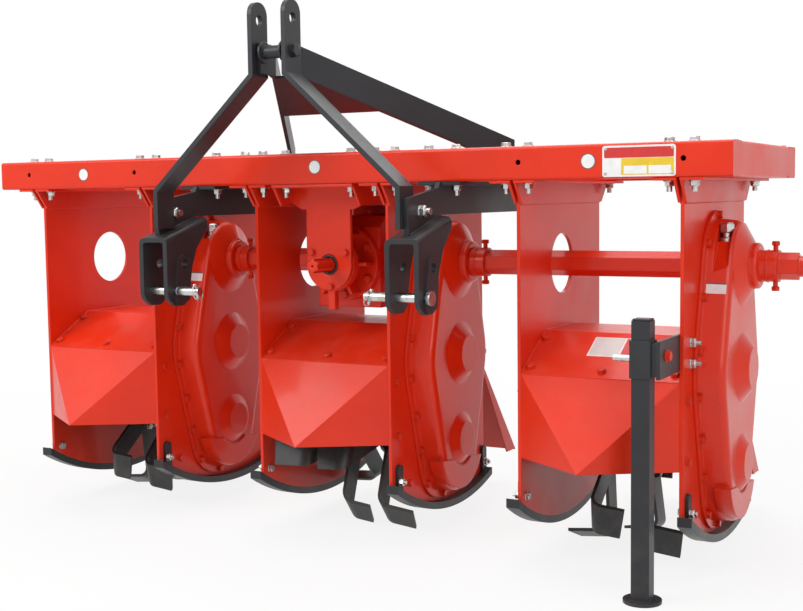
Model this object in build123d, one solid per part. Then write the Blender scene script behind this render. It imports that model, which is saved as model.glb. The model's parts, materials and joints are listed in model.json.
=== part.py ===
"""Three-row tractor-mounted rotary weeder, built piece by piece in millimetres.

Working frame: x across the machine (0 on the power take-off), y rearward from the front face of
the front beam, z up from the underside of the two beams. At the end everything is moved so that
the origin is the bottom centre of the whole machine.
"""
from build123d import *
from math import asin, atan2, cos, hypot, radians, sin, sqrt, tan
import os

# Frame
BEAM = 75.0
BEAM_WALL = 5.0
BEAM_ROUND = 7.0
FRAME_HALF = 1019.0
FRAME_DEPTH = 622.0
BEAM_HOLE_R = 6.0

# Units
PITCH = FRAME_HALF - 304.0
HALF = 188.0
PLATE_T = 8.0
PLATE_FRONT = 42.0
PLATE_REAR = FRAME_DEPTH - 51.0
ANGLE_LEG = 50.0
ANGLE_T = 6.0
ANGLE_DROP = 53.0
WINDOW_R = 73.0
HOLE_IN = 170.5
HOLE_OUT = 201.0
UNITS = [
    # name, centre x, angle from straight down of the first blade on the left and on the right flange
    ("a", -PITCH, -53.0, -45.0),
    ("b", 0.0, -20.0, -20.0),
    ("c", PITCH, -53.0, -39.0),
]

# Drive line
AXIS_Y = FRAME_DEPTH / 2 - 15.0
SHAFT_Z = -199.0
ROTOR_Z = -640.0
HEX_AF = 53.0
SHAFT_RIGHT = PITCH + 381.0
SLEEVE_R = 36.0
RUN_FIT = 0.05

# Rotor
TIP_R = 227.0
BLADE_W = 56.0
BLADE_T = 8.0
LEG_OUTWARD = 115.0
LEG_INWARD = 94.0
LEG_DROP = 12.0
LEG_TILT = 32.0
LEG_TRIM = 25.0
BLADE_BEND = 26.0
FLANGE_X = 53.0
FLANGE_R = 72.0
TUBE_R = 38.0
STUB_R = 20.0

# Gear case
CASE_TOP_R = 126.0
CASE_MID_R = 187.0
CASE_LOW_R = 120.0
CASE_MID_Z = -440.0
CASE_LOW_Z = -692.0
CASE_DEPTH = 66.0
CASE_FLANGE_T = 8.0
CASE_RIM = 18.0
CASE_DRAFT = 7.0
CASE_ROUND = 17.0
CASE_WALL = 6.0
HUB_BASE_R = 98.0
HUB_START = 3.0
HUB_R = 52.0
HUB_RISE = 22.0
HUB_LONG = 17.0
SLEEVE_LONG = 41.0
BOSS_MID_R = 82.0
BOSS_MID_TOP_R = 47.0
BOSS_MID_RISE = 25.0
BOSS_LOW_Z = -652.0
BOSS_LOW_R = 69.0
BOSS_LOW_TOP_R = 43.0
BOSS_LOW_RISE = 16.0
MOON_Z = -661.0
MOON_R = 121.0
MOON_CUT_Z = -692.0
MOON_FALL = 24.0
MOON_START = 30.0
MOON_RISE = 4.0
POCKET_X = 40.0
POCKET_W = 32.0
POCKET_FLOOR_Z = -142.0
POCKET_LOW_Z = -232.0
POCKET_DEEP_Y = -30.0
POCKET_SHALLOW_Y = -72.0

# Skids
SKID_T = 18.0
SKID_W = 32.0
SKID_FRONT = (8.0, -736.0)
SKID_LOW = (FRAME_DEPTH / 2 - 11.0, -840.0)
SKID_REAR = (FRAME_DEPTH - 18.0, -797.0)
SKID_START = PLATE_FRONT - 14.0
SKID_END = PLATE_REAR + 5.0
TAB_TALL = 68.0
TAB_W = 26.0

# Hood, guard and flap
SHEET = 4.0
HOOD_FOLD_Z = -440.0
HOOD_TOP_Z = -356.0
HOOD_TOP_Y0 = 200.0
HOOD_TOP_Y1 = FRAME_DEPTH - 233.0
GUARD_TIP = (-92.0, -629.0)
GUARD_LOW_Z = -633.0
FLAP_HINGE = (PLATE_REAR - 3.0, -462.0)
FLAP_TIP = (PLATE_REAR + 256.0, -784.0)
FLAP_SIDE = 46.0
FLAP_ROD_R = 8.0

# Hitch and mast
HITCH_GAP = 183.0
HITCH_X = PITCH - HALF - HITCH_GAP
HITCH_W = 85.0
EAR_T = 12.0
EAR_BEND = 13.0
EAR_WEB = 11.0
EAR_ROUND = 16.0
RING_R = 24.0
RING_T = 4.0
RING_HOLE = (-114.0, -191.0)
PAD = [(-138.0, -191.0), (-153.0, -262.0), (-149.0, -281.0), (-140.0, -289.0), (-118.0, -289.0),
       (-98.0, -281.0), (-94.0, -277.0), (-90.0, -235.0), (-90.0, -191.0)]
TONGUE_T = 12.0
PIN_R = 11.0
PIN_Y = -141.0
PIN_Z = -256.0
PIN_FREE = 66.0
MAST_Y0 = -174.0
MAST_Y1 = -110.0
MAST_T = 12.0
MAST_X = 46.0
MAST_TOP = 418.0
MAST_HOLE_R = 12.7
MAST_HOLE_Z = 376.0
MAST_BOLT_Z = 303.0
MAST_BOLT_R = 10.0
BRACE_T = 10.0
BRACE_H = 70.0
BRACE_END_X = HITCH_X - 4.0
BRACE_END_Y = FRAME_DEPTH - 171.0
BRACE_BEND_Y = -93.0
BRACE_TOP_Z = 324.0
BRACE_END_Z = 109.0
BRACE_FOOT = 56.0
GUSSET_Y = 100.0
GUSSET_T = 6.0

# Gearbox
PTO_Y = 0.0
PTO_R = 17.35
PTO_CLEAR = 74.0
HANGER_Y = 80.0
HANGER_HALF = 64.0
HANGER_WIDE = 116.0
HANGER_T = 8.0
HANGER_PLATE = 10.0
SPLINE_LONG = 76.0
SPLINE_DEEP = 3.2
SPLINE_GAP = 8.6
COVER_R = 67.0
COVER_T = 24.0
NECK_R = 42.0
RIB_T = 9.0
BOX_FLANGE_Y = 158.0
BOX_FLANGE_T = 24.0
BOX_FLANGE_R = 95.0
BOX_HALF = 92.0
BOX_REAR = FRAME_DEPTH - 222.0
BOX_TOP_Z = -80.0
BOX_EDGE_Z = -108.0
BOX_LOW_Z = -312.0
BREATHER_R = 9.0

# Stand
STAND_X = PITCH + HALF - 47.0
STAND_Y = -78.0
LEG_W = 40.0
SLEEVE_W = 47.0
STAND_SLEEVE_TOP = -334.0
STAND_SLEEVE_LOW = -413.0
LEG_TOP = -294.0
FOOT_R = 41.0
FOOT_T = 7.0

PLATE_IN = HALF - PLATE_T / 2
PLATE_OUT = HALF + PLATE_T / 2


def reach_down(first):
    """Depth of the lowest blade corner under the rotor axis at the given angle of the first blade."""
    depths = []
    for turn in range(-180, 180, 60):
        angle = radians(first + turn)
        for y in (-BLADE_W / 2, BLADE_W / 2):
            trimmed = LEG_TRIM * (y + BLADE_W) / (2 * BLADE_W)
            low = TIP_R + LEG_DROP * (LEG_OUTWARD - trimmed) / LEG_OUTWARD + y * tan(radians(LEG_TILT))
            depths.append(low * cos(angle) - y * sin(angle))
    return max(depths)


GROUND_Z = ROTOR_Z - max(reach_down(first) for row in UNITS for first in row[2:])


def box(x0, x1, y0, y1, z0, z1):
    """Box between two corners."""
    return Pos((x0 + x1) / 2, (y0 + y1) / 2, (z0 + z1) / 2) * Box(x1 - x0, y1 - y0, z1 - z0)


def rod_x(x0, x1, y, z, r):
    """Cylinder along x."""
    return Pos((x0 + x1) / 2, y, z) * (Rot(0, 90, 0) * Cylinder(r, x1 - x0))


def rod_y(y0, y1, x, z, r):
    """Cylinder along y."""
    return Pos(x, (y0 + y1) / 2, z) * (Rot(90, 0, 0) * Cylinder(r, y1 - y0))


def rod_z(z0, z1, x, y, r):
    """Cylinder along z."""
    return Pos(x, y, (z0 + z1) / 2) * Cylinder(r, z1 - z0)


def hex_x(x0, x1, y, z, flats):
    """Hexagonal bar along x with a corner on top."""
    face = Plane(origin=(x0, y, z), x_dir=(0, 1, 0), z_dir=(1, 0, 0)) * RegularPolygon(flats / sqrt(3), 6, rotation=30)
    return extrude(face, x1 - x0, dir=(1, 0, 0))


def cone_x(x0, x1, y, z, r0, r1):
    """Cone frustum along x from radius r0 to r1."""
    return Pos((x0 + x1) / 2, y, z) * (Rot(0, 90, 0) * Cone(r0, r1, abs(x1 - x0)))


def cut_yz(points, x0, x1):
    """Prism of a (y, z) polygon between two x."""
    face = Plane(origin=(x0, 0, 0), x_dir=(0, 1, 0), z_dir=(1, 0, 0)) * Polygon(*points, align=None)
    return extrude(face, x1 - x0, dir=(1, 0, 0))


def cut_xz(points, y0, y1):
    """Prism of an (x, z) polygon between two y."""
    face = Plane(origin=(0, y0, 0), x_dir=(1, 0, 0), z_dir=(0, -1, 0)) * Polygon(*points, align=None)
    return extrude(face, y1 - y0, dir=(0, 1, 0))


def strip_points(path, thick):
    """Closed outline of a flat strip of even thickness around a bent centre line."""
    left = []
    right = []
    count = len(path)
    for i in range(count):
        before = path[max(i - 1, 0)]
        here = path[i]
        after = path[min(i + 1, count - 1)]
        n1 = normal_of(before, here) if i > 0 else normal_of(here, after)
        n2 = normal_of(here, after) if i < count - 1 else n1
        mid = (n1[0] + n2[0], n1[1] + n2[1])
        size = hypot(*mid)
        unit = (mid[0] / size, mid[1] / size)
        reach = thick / 2 / (unit[0] * n1[0] + unit[1] * n1[1])
        left.append((here[0] + unit[0] * reach, here[1] + unit[1] * reach))
        right.append((here[0] - unit[0] * reach, here[1] - unit[1] * reach))
    return left + right[::-1]


def normal_of(a, b):
    """Unit normal of the line a to b."""
    size = hypot(b[0] - a[0], b[1] - a[1])
    return (-(b[1] - a[1]) / size, (b[0] - a[0]) / size)


def circle_of(a, b, c):
    """Centre and radius of the circle through three points."""
    d = 2 * (a[0] * (b[1] - c[1]) + b[0] * (c[1] - a[1]) + c[0] * (a[1] - b[1]))
    sa = a[0] ** 2 + a[1] ** 2
    sb = b[0] ** 2 + b[1] ** 2
    sc = c[0] ** 2 + c[1] ** 2
    ux = (sa * (b[1] - c[1]) + sb * (c[1] - a[1]) + sc * (a[1] - b[1])) / d
    uy = (sa * (c[0] - b[0]) + sb * (a[0] - c[0]) + sc * (b[0] - a[0])) / d
    return (ux, uy), hypot(a[0] - ux, a[1] - uy)


SKID_C, SKID_R = circle_of(SKID_FRONT, SKID_LOW, SKID_REAR)


def skid_z(y, lift=0.0):
    """Height of the skid arc at y, lifted towards its centre."""
    return SKID_C[1] - sqrt((SKID_R - lift) ** 2 - (y - SKID_C[0]) ** 2)


def case_face(x, inset):
    """Outline of the gear case in the plane x, its three circles made smaller by inset."""
    rows = [
        (SHAFT_Z, CASE_TOP_R - inset),
        (CASE_MID_Z, CASE_MID_R - inset),
        (CASE_LOW_Z, CASE_LOW_R - inset),
    ]
    t1 = asin((rows[1][1] - rows[0][1]) / (rows[0][0] - rows[1][0]))
    t2 = asin((rows[2][1] - rows[1][1]) / (rows[1][0] - rows[2][0]))

    def at(row, angle, side=1):
        return (x, AXIS_Y + side * row[1] * cos(angle), row[0] + row[1] * sin(angle))

    mid = (t1 + t2) / 2
    quarter = radians(90.0)
    edges = [
        ThreePointArc(at(rows[0], t1), at(rows[0], quarter), at(rows[0], t1, -1)),
        Line(at(rows[0], t1, -1), at(rows[1], t1, -1)),
        ThreePointArc(at(rows[1], t1, -1), at(rows[1], mid, -1), at(rows[1], t2, -1)),
        Line(at(rows[1], t2, -1), at(rows[2], t2, -1)),
        ThreePointArc(at(rows[2], t2, -1), at(rows[2], -quarter), at(rows[2], t2)),
        Line(at(rows[2], t2), at(rows[1], t2)),
        ThreePointArc(at(rows[1], t2), at(rows[1], mid), at(rows[1], t1)),
        Line(at(rows[1], t1), at(rows[0], t1)),
    ]
    return make_face(edges)


def beam(length, wall=BEAM_WALL):
    """Box section along x with rounded edges, standing on z 0 with its front at y 0."""
    outer = Pos(0, BEAM / 2, BEAM / 2) * Box(length, BEAM, BEAM)
    outer = fillet(outer.edges().filter_by(Axis.X), BEAM_ROUND)
    inner = box(-length / 2 + wall, length / 2 - wall, wall, BEAM - wall, wall, BEAM - wall)
    return outer - inner


def make_frame():
    """Front beam, rear beam and the two end members."""
    parts = {}
    front = beam(2 * FRAME_HALF)
    rear = Pos(0, FRAME_DEPTH - BEAM, 0) * beam(2 * FRAME_HALF)
    for x in (-PITCH - HOLE_OUT, -PITCH + HOLE_IN, PITCH - HOLE_IN, PITCH + HOLE_OUT):
        front -= rod_y(-1, BEAM_WALL + 1, x, BEAM / 2 + 2, BEAM_HOLE_R)
        rear -= rod_y(FRAME_DEPTH - BEAM_WALL - 1, FRAME_DEPTH + 1, x, BEAM / 2 + 2, BEAM_HOLE_R)
    parts["front_beam"] = front
    parts["rear_beam"] = rear
    inside = BEAM - BEAM_WALL
    for name, x in (("l", -FRAME_HALF), ("r", FRAME_HALF - BEAM)):
        tube = box(x, x + BEAM, BEAM, FRAME_DEPTH - BEAM, 0, BEAM)
        tube = fillet(tube.edges().filter_by(Axis.Y), BEAM_ROUND)
        tube -= box(x + BEAM_WALL, x + inside, BEAM - 1, FRAME_DEPTH, BEAM_WALL, inside)
        parts["end_member_" + name] = tube
    return parts


def angle_pair(x, right, left=True):
    """Two angle irons that hang a plate at x under both beams."""
    result = []
    lap = PLATE_T / 2
    for side, wanted in ((1, right), (-1, left)):
        if not wanted:
            continue
        x0 = x + side * lap
        x1 = x0 + side * ANGLE_T
        x2 = x0 + side * ANGLE_LEG
        leg = cut_yz(
            [(3, 0), (FRAME_DEPTH - 3, 0), (FRAME_DEPTH - 6, -ANGLE_T), (PLATE_REAR, -ANGLE_DROP),
             (PLATE_FRONT, -ANGLE_DROP), (6, -ANGLE_T)],
            min(x0, x1), max(x0, x1))
        flat = box(min(x0, x2), max(x0, x2), 3, FRAME_DEPTH - 3, -ANGLE_T, 0)
        result.append(leg + flat)
    return result


def side_plate(x, bores):
    """Side plate with its curved foot edge and its bores given as (y, z, r)."""
    low = SKID_T
    middle = (PLATE_FRONT + PLATE_REAR) / 2
    edges = [
        Line((x, PLATE_FRONT, 0), (x, PLATE_REAR, 0)),
        Line((x, PLATE_REAR, 0), (x, PLATE_REAR, skid_z(PLATE_REAR, low))),
        ThreePointArc((x, PLATE_REAR, skid_z(PLATE_REAR, low)), (x, middle, skid_z(middle, low)),
                      (x, PLATE_FRONT, skid_z(PLATE_FRONT, low))),
        Line((x, PLATE_FRONT, skid_z(PLATE_FRONT, low)), (x, PLATE_FRONT, 0)),
    ]
    plate = extrude(make_face(edges), PLATE_T / 2, dir=(1, 0, 0), both=True)
    for y, z, r in bores:
        plate -= rod_x(x - PLATE_T, x + PLATE_T, y, z, r)
    return plate


def filler_pocket(x, grow):
    """Upright pocket in the front of a gear case for its filler plug, made larger by grow."""
    x0 = x + POCKET_X - POCKET_W / 2 - grow
    x1 = x + POCKET_X + POCKET_W / 2 + grow
    deep = AXIS_Y + POCKET_DEEP_Y + grow
    front = AXIS_Y - CASE_MID_R
    block = box(x0, x1, front, deep, POCKET_FLOOR_Z - grow, 0)
    shape = block + cut_yz(
        [(front, POCKET_FLOOR_Z), (AXIS_Y + POCKET_SHALLOW_Y + grow, POCKET_FLOOR_Z),
         (AXIS_Y - CASE_TOP_R + grow, POCKET_LOW_Z - grow), (front, POCKET_LOW_Z - grow)], x0, x1)
    return shape


def gear_case(x):
    """Pan of the gear train on the outer face x of the right side plate."""
    base = x + CASE_FLANGE_T
    outer = x + CASE_DEPTH
    body = loft([case_face(base, CASE_RIM), case_face(outer, CASE_RIM + CASE_DRAFT)], ruled=True)
    body = fillet(body.edges().filter_by_position(Axis.X, outer - 0.5, outer + 0.5), CASE_ROUND)
    case = extrude(case_face(x, 0.0), CASE_FLANGE_T, dir=(1, 0, 0)) + body
    hub = outer + HUB_RISE
    case += cone_x(outer - HUB_START, hub, AXIS_Y, SHAFT_Z, HUB_BASE_R, HUB_R + 4)
    collar = rod_x(hub - 1, hub + HUB_LONG, AXIS_Y, SHAFT_Z, HUB_R)
    case += fillet(collar.edges().filter_by_position(Axis.X, hub + HUB_LONG - 1, hub + HUB_LONG + 1), 7)
    case += cone_x(outer - 1, outer + BOSS_MID_RISE, AXIS_Y, CASE_MID_Z + 8, BOSS_MID_R, BOSS_MID_TOP_R)
    case += cone_x(outer - 1, outer + BOSS_LOW_RISE, AXIS_Y, BOSS_LOW_Z, BOSS_LOW_R, BOSS_LOW_TOP_R)
    moon = rod_x(x + MOON_START, outer + MOON_RISE, AXIS_Y, MOON_Z, MOON_R)
    moon -= cut_yz([(AXIS_Y - MOON_R - 1, MOON_CUT_Z), (AXIS_Y + MOON_R + 1, MOON_CUT_Z - MOON_FALL),
                    (AXIS_Y + MOON_R + 1, SHAFT_Z), (AXIS_Y - MOON_R - 1, SHAFT_Z)], x, outer + MOON_RISE + 1)
    moon -= rod_x(outer, outer + MOON_RISE + 1, AXIS_Y, BOSS_LOW_Z, BOSS_LOW_R + 2)
    case += moon
    case -= filler_pocket(x, 0.0)
    inner = loft([case_face(x - 1, CASE_RIM + CASE_WALL),
                  case_face(outer - CASE_WALL, CASE_RIM + CASE_DRAFT + CASE_ROUND)], ruled=True)
    case -= inner - filler_pocket(x, CASE_WALL)
    case -= rod_x(outer - 20, hub + HUB_LONG + 1, AXIS_Y, SHAFT_Z, SLEEVE_R + RUN_FIT)
    return case


def hood_profile():
    """Outer line of the hood in (y, z), front fold to the flap hinge."""
    return [
        (PLATE_FRONT, HOOD_FOLD_Z),
        (HOOD_TOP_Y0, HOOD_TOP_Z),
        (HOOD_TOP_Y1, HOOD_TOP_Z),
        (FLAP_HINGE[0] - 24, FLAP_HINGE[1] + 16),
    ]


def hood(xc):
    """Hood sheet and the pointed guard in front of the rotor."""
    inner = PLATE_IN
    sheet = cut_yz(strip_points(hood_profile(), SHEET), xc - inner, xc + inner)
    tl = (xc - inner, PLATE_FRONT, HOOD_FOLD_Z)
    tr = (xc + inner, PLATE_FRONT, HOOD_FOLD_Z)
    bl = (xc - inner, PLATE_FRONT, GUARD_LOW_Z)
    br = (xc + inner, PLATE_FRONT, GUARD_LOW_Z)
    tip = (xc, GUARD_TIP[0], GUARD_TIP[1])
    guard = None
    for corners in ((tl, tr, tip), (tl, tip, bl), (tr, br, tip)):
        face = make_face(Polyline(*corners, close=True))
        wedge = extrude(face, SHEET * 1.3, dir=(0, 1, 0))
        guard = wedge if guard is None else guard + wedge
    return [sheet + guard]


def flap(xc):
    """Rear board with side flanges on its own hinge rod."""
    dy = FLAP_TIP[0] - FLAP_HINGE[0]
    dz = FLAP_TIP[1] - FLAP_HINGE[1]
    size = hypot(dy, dz)
    uy, uz = dy / size, dz / size
    ny, nz = uz, -uy
    half = PLATE_IN - 6
    start = (FLAP_HINGE[0] + uy * 6, FLAP_HINGE[1] + uz * 6)
    board = cut_yz(
        [start, FLAP_TIP, (FLAP_TIP[0] + ny * SHEET, FLAP_TIP[1] + nz * SHEET),
         (start[0] + ny * SHEET, start[1] + nz * SHEET)], xc - half, xc + half)
    result = board
    top = (FLAP_HINGE[0] + uy * 60, FLAP_HINGE[1] + uz * 60)
    low_y = FLAP_TIP[0] - FLAP_SIDE / sin(atan2(-dz, dy))
    for side in (-1, 1):
        x0 = xc + side * half
        x1 = x0 - side * SHEET
        ear = [top, FLAP_TIP, (low_y, FLAP_TIP[1]), (top[0] + ny * 12, top[1] + nz * 12)]
        result += cut_yz(ear, min(x0, x1), max(x0, x1))
    result += rod_x(xc - half, xc + half, *FLAP_HINGE, FLAP_ROD_R + 5)
    result += rod_x(xc - PLATE_OUT - 9, xc + PLATE_OUT + 9, *FLAP_HINGE, FLAP_ROD_R)
    return result


def blade(side, reach):
    """L blade hanging down from the rotor axis, its leg reaching towards side and tilted about x."""
    drop = LEG_DROP * reach / LEG_OUTWARD
    slant = tan(radians(LEG_TILT))
    outer = (0, -TIP_R)
    inner = (side * BLADE_T, -TIP_R + BLADE_T)
    path = [(0, -FLANGE_R + 24), outer, (side * reach, -TIP_R - drop), (side * reach, -TIP_R - drop + BLADE_T),
            inner, (side * BLADE_T, -FLANGE_R + 24)]
    plane = Plane(origin=(0, -BLADE_W / 2, slant * BLADE_W / 2), x_dir=(1, 0, 0), z_dir=(0, -1, 0))
    face = Polygon(*path, align=None)
    face = fillet([v for v in face.vertices() if hypot(v.X - inner[0], v.Y - inner[1]) < 0.1], BLADE_BEND)
    face = fillet([v for v in face.vertices() if hypot(v.X - outer[0], v.Y - outer[1]) < 0.1],
                  BLADE_BEND + BLADE_T)
    blank = extrude(plane * face, BLADE_W * hypot(1, slant), dir=(0, 1, -slant))
    trim = Polyline((side * (reach + 1), -BLADE_W), (side * (reach + 1), BLADE_W),
                    (side * (reach + 1 - LEG_TRIM), BLADE_W), close=True)
    wedge = extrude(Plane.XY.offset(-TIP_R - BLADE_W) * make_face(trim), 2 * BLADE_W, dir=(0, 0, 1))
    return blank - wedge


def rotor(xc, firsts):
    """Rotor tube, two flanges and twelve L blades, legs pointing right and left in turn."""
    body = rod_x(-PLATE_IN + 12, PLATE_IN - 12, 0, 0, TUBE_R)
    body += rod_x(-PLATE_OUT - 34, PLATE_OUT + 30, 0, 0, STUB_R)
    for sign, first in zip((-1, 1), firsts):
        body += rod_x(sign * FLANGE_X - BLADE_T / 2, sign * FLANGE_X + BLADE_T / 2, 0, 0, FLANGE_R)
        for k in range(6):
            side = 1 if k % 2 == 0 else -1
            reach = LEG_OUTWARD if side == sign else LEG_INWARD
            place = Pos(sign * FLANGE_X + side * BLADE_T / 2, 0, 0) * Rot(first + 60.0 * k, 0, 0)
            body += place * blade(side, reach)
    return Pos(xc, AXIS_Y, ROTOR_Z) * body


def bearings(xc):
    """Bearing carriers of the rotor on the left plate and inside the right plate."""
    left = rod_x(xc - PLATE_OUT - 10, xc - PLATE_OUT, AXIS_Y, ROTOR_Z, 62)
    left += cone_x(xc - PLATE_OUT - 30, xc - PLATE_OUT - 9, AXIS_Y, ROTOR_Z, 38, 46)
    left -= rod_x(xc - PLATE_OUT - 40, xc, AXIS_Y, ROTOR_Z, STUB_R + RUN_FIT)
    right = rod_x(xc + PLATE_OUT, xc + PLATE_OUT + 20, AXIS_Y, ROTOR_Z, 55)
    right -= rod_x(xc, xc + PLATE_OUT + 60, AXIS_Y, ROTOR_Z, STUB_R + RUN_FIT)
    return [left, right]


def skid(x, side):
    """Curved bar under a side plate with its two upright tabs."""
    x0 = x - PLATE_T / 2 if side > 0 else x + PLATE_T / 2 - SKID_W
    x1 = x0 + SKID_W
    y0, y1 = SKID_START, SKID_END
    ym = (y0 + y1) / 2
    edges = [
        ThreePointArc((x0, y0, skid_z(y0)), (x0, ym, skid_z(ym)), (x0, y1, skid_z(y1))),
        Line((x0, y1, skid_z(y1)), (x0, y1, skid_z(y1, SKID_T))),
        ThreePointArc((x0, y1, skid_z(y1, SKID_T)), (x0, ym, skid_z(ym, SKID_T)),
                      (x0, y0, skid_z(y0, SKID_T))),
        Line((x0, y0, skid_z(y0, SKID_T)), (x0, y0, skid_z(y0))),
    ]
    bar = extrude(make_face(edges), SKID_W, dir=(1, 0, 0))
    face = x + side * PLATE_T / 2
    t0, t1 = sorted((face, face + side * 8))
    for y in (PLATE_FRONT + 30, PLATE_REAR - 10):
        base = skid_z(y, SKID_T)
        tab = box(t0, t1, y - TAB_W / 2, y + TAB_W / 2, base - 4, base + TAB_TALL)
        bar += fillet(tab.edges().filter_by(Axis.X).sort_by(Axis.Z)[-2:], TAB_W / 2 - 1)
    return bar


def make_units():
    """Everything of the three rows."""
    parts = {}
    rod = (*FLAP_HINGE, FLAP_ROD_R + RUN_FIT)
    stub = (AXIS_Y, ROTOR_Z, STUB_R + 8)
    for name, xc, *firsts in UNITS:
        window = (AXIS_Y + 8, SHAFT_Z, WINDOW_R)
        parts["side_plate_" + name + "_l"] = side_plate(xc - HALF, [window, rod, stub])
        shaft = (AXIS_Y, SHAFT_Z, 60)
        parts["side_plate_" + name + "_r"] = side_plate(xc + HALF, [shaft, rod, stub])
        parts["hanger_angles_" + name] = angle_pair(xc - HALF, True) + angle_pair(xc + HALF, True)
        parts["gear_case_" + name] = gear_case(xc + PLATE_OUT)
        parts["hood_" + name] = hood(xc)
        parts["flap_" + name] = flap(xc)
        parts["rotor_" + name] = rotor(xc, firsts)
        parts["bearings_" + name] = bearings(xc)
        parts["skids_" + name] = [skid(xc - HALF, -1), skid(xc + HALF, 1)]
    return parts


def make_drive():
    """Through shaft, power take-off shaft, gearbox and its hanger."""
    parts = {}
    start = UNITS[0][1] + PLATE_OUT + 12
    shaft = hex_x(start, SHAFT_RIGHT, AXIS_Y, SHAFT_Z, HEX_AF)
    shaft += rod_x(SHAFT_RIGHT - 1, SHAFT_RIGHT + 14, AXIS_Y, SHAFT_Z, HEX_AF / 2 - 3)
    for _, xc, *_ in UNITS:
        hub_end = xc + PLATE_OUT + CASE_DEPTH + HUB_RISE + HUB_LONG
        shaft += rod_x(hub_end - HUB_LONG - HUB_RISE - 4, hub_end + SLEEVE_LONG, AXIS_Y, SHAFT_Z, SLEEVE_R)
    for side in (-1, 1):
        x0, x1 = sorted((side * (BOX_HALF + 2), side * (BOX_HALF + 44)))
        shaft += rod_x(x0, x1, AXIS_Y, SHAFT_Z, SLEEVE_R)
    parts["drive_shaft"] = shaft
    hanger = box(-HANGER_WIDE, HANGER_WIDE, 3, FRAME_DEPTH - 3, -HANGER_T, 0)
    for side in (-1, 1):
        x0, x1 = sorted((side * (HANGER_WIDE - 6), side * HANGER_WIDE))
        hanger += cut_yz([(6, -4), (FRAME_DEPTH - 6, -4), (PLATE_REAR, -ANGLE_DROP),
                          (PLATE_FRONT, -ANGLE_DROP)], x0, x1)
    low = -ANGLE_DROP - 9
    shield = [(-HANGER_WIDE, -4), (HANGER_WIDE, -4), (HANGER_WIDE, -ANGLE_DROP + 12),
              (HANGER_HALF + 12, low), (-HANGER_HALF - 12, low), (-HANGER_WIDE, -ANGLE_DROP + 12)]
    plate_back = HANGER_Y + HANGER_PLATE
    front = cut_xz(shield, HANGER_Y, plate_back)
    front += box(-HANGER_HALF, HANGER_HALF, HANGER_Y, plate_back, SHAFT_Z, low + 1)
    front += rod_y(HANGER_Y, plate_back, 0, SHAFT_Z, HANGER_HALF)
    front -= rod_y(HANGER_Y - 1, plate_back + 1, 0, SHAFT_Z, PTO_R + 8)
    back = box(-HANGER_WIDE, HANGER_WIDE, BOX_REAR, BOX_REAR + HANGER_PLATE, BOX_EDGE_Z - 40, -4)
    parts["gearbox_hanger"] = hanger + front + back
    cover_end = plate_back + COVER_T
    flange_end = BOX_FLANGE_Y + BOX_FLANGE_T
    house = rod_y(plate_back, cover_end, 0, SHAFT_Z, COVER_R)
    house += rod_y(cover_end - 1, BOX_FLANGE_Y + 1, 0, SHAFT_Z, NECK_R)
    house += rod_y(BOX_FLANGE_Y, flange_end, 0, SHAFT_Z, BOX_FLANGE_R)
    rib = cut_xz([(NECK_R - 4, -RIB_T / 2), (BOX_FLANGE_R - 8, -RIB_T / 2), (BOX_FLANGE_R - 8, RIB_T / 2),
                  (NECK_R - 4, RIB_T / 2)], cover_end - 1, BOX_FLANGE_Y + 1)
    rib &= cut_yz([(cover_end - 1, -RIB_T), (cover_end - 1, RIB_T), (BOX_FLANGE_Y + 1, RIB_T),
                   (BOX_FLANGE_Y + 1, -RIB_T)], 0, BOX_FLANGE_R)
    for k in range(6):
        house += Pos(0, 0, SHAFT_Z) * Rot(0, 60.0 * k, 0) * rib
    roof_y = flange_end + (BOX_TOP_Z - BOX_EDGE_Z)
    house += cut_yz([(flange_end - 4, BOX_LOW_Z), (flange_end - 4, BOX_EDGE_Z), (roof_y, BOX_TOP_Z),
                     (BOX_REAR - 30, BOX_TOP_Z), (BOX_REAR, BOX_EDGE_Z), (BOX_REAR, BOX_LOW_Z)],
                    -BOX_HALF, BOX_HALF)
    house += box(-10, 10, plate_back, plate_back + 18, BOX_LOW_Z, SHAFT_Z - NECK_R)
    house += rod_x(-BOX_HALF - 34, BOX_HALF + 34, AXIS_Y, SHAFT_Z, 64)
    house += rod_z(BOX_TOP_Z - 1, BOX_TOP_Z + 8, 30, roof_y + 26, BREATHER_R)
    house += rod_z(BOX_TOP_Z + 7, BOX_TOP_Z + 14, 30, roof_y + 26, BREATHER_R * 1.8)
    house -= box(-BOX_HALF + 8, BOX_HALF - 8, flange_end + 8, BOX_REAR - 8, BOX_LOW_Z + 8, BOX_EDGE_Z - 8)
    house -= rod_x(-BOX_HALF - 40, BOX_HALF + 40, AXIS_Y, SHAFT_Z, SLEEVE_R + RUN_FIT)
    house -= rod_y(HANGER_Y, flange_end + 9, 0, SHAFT_Z, PTO_R + RUN_FIT + 3)
    parts["gearbox"] = house
    pto = rod_y(PTO_Y + 3, AXIS_Y - PTO_CLEAR, 0, SHAFT_Z, PTO_R)
    pto += rod_y(plate_back + 2, AXIS_Y - PTO_CLEAR - 10, 0, SHAFT_Z, PTO_R + 3)
    pto = chamfer(pto.edges().filter_by_position(Axis.Y, PTO_Y + 2.5, PTO_Y + 3.5), 2)
    groove = box(-SPLINE_GAP / 2, SPLINE_GAP / 2, PTO_Y + 2, PTO_Y + SPLINE_LONG, PTO_R - SPLINE_DEEP,
                 PTO_R + 1)
    for k in range(6):
        pto -= Pos(0, 0, SHAFT_Z) * Rot(0, 60.0 * k + 30, 0) * groove
    pto -= rod_y(PTO_Y + 2, PTO_Y + 11, 0, SHAFT_Z, 3)
    parts["pto_shaft"] = pto
    return parts


def brace_z(y):
    """Height of the braces' top edge at y."""
    fall = (BRACE_TOP_Z - BRACE_END_Z) / (BRACE_END_Y - MAST_Y1)
    return BRACE_TOP_Z - fall * (y - MAST_Y1)


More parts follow.
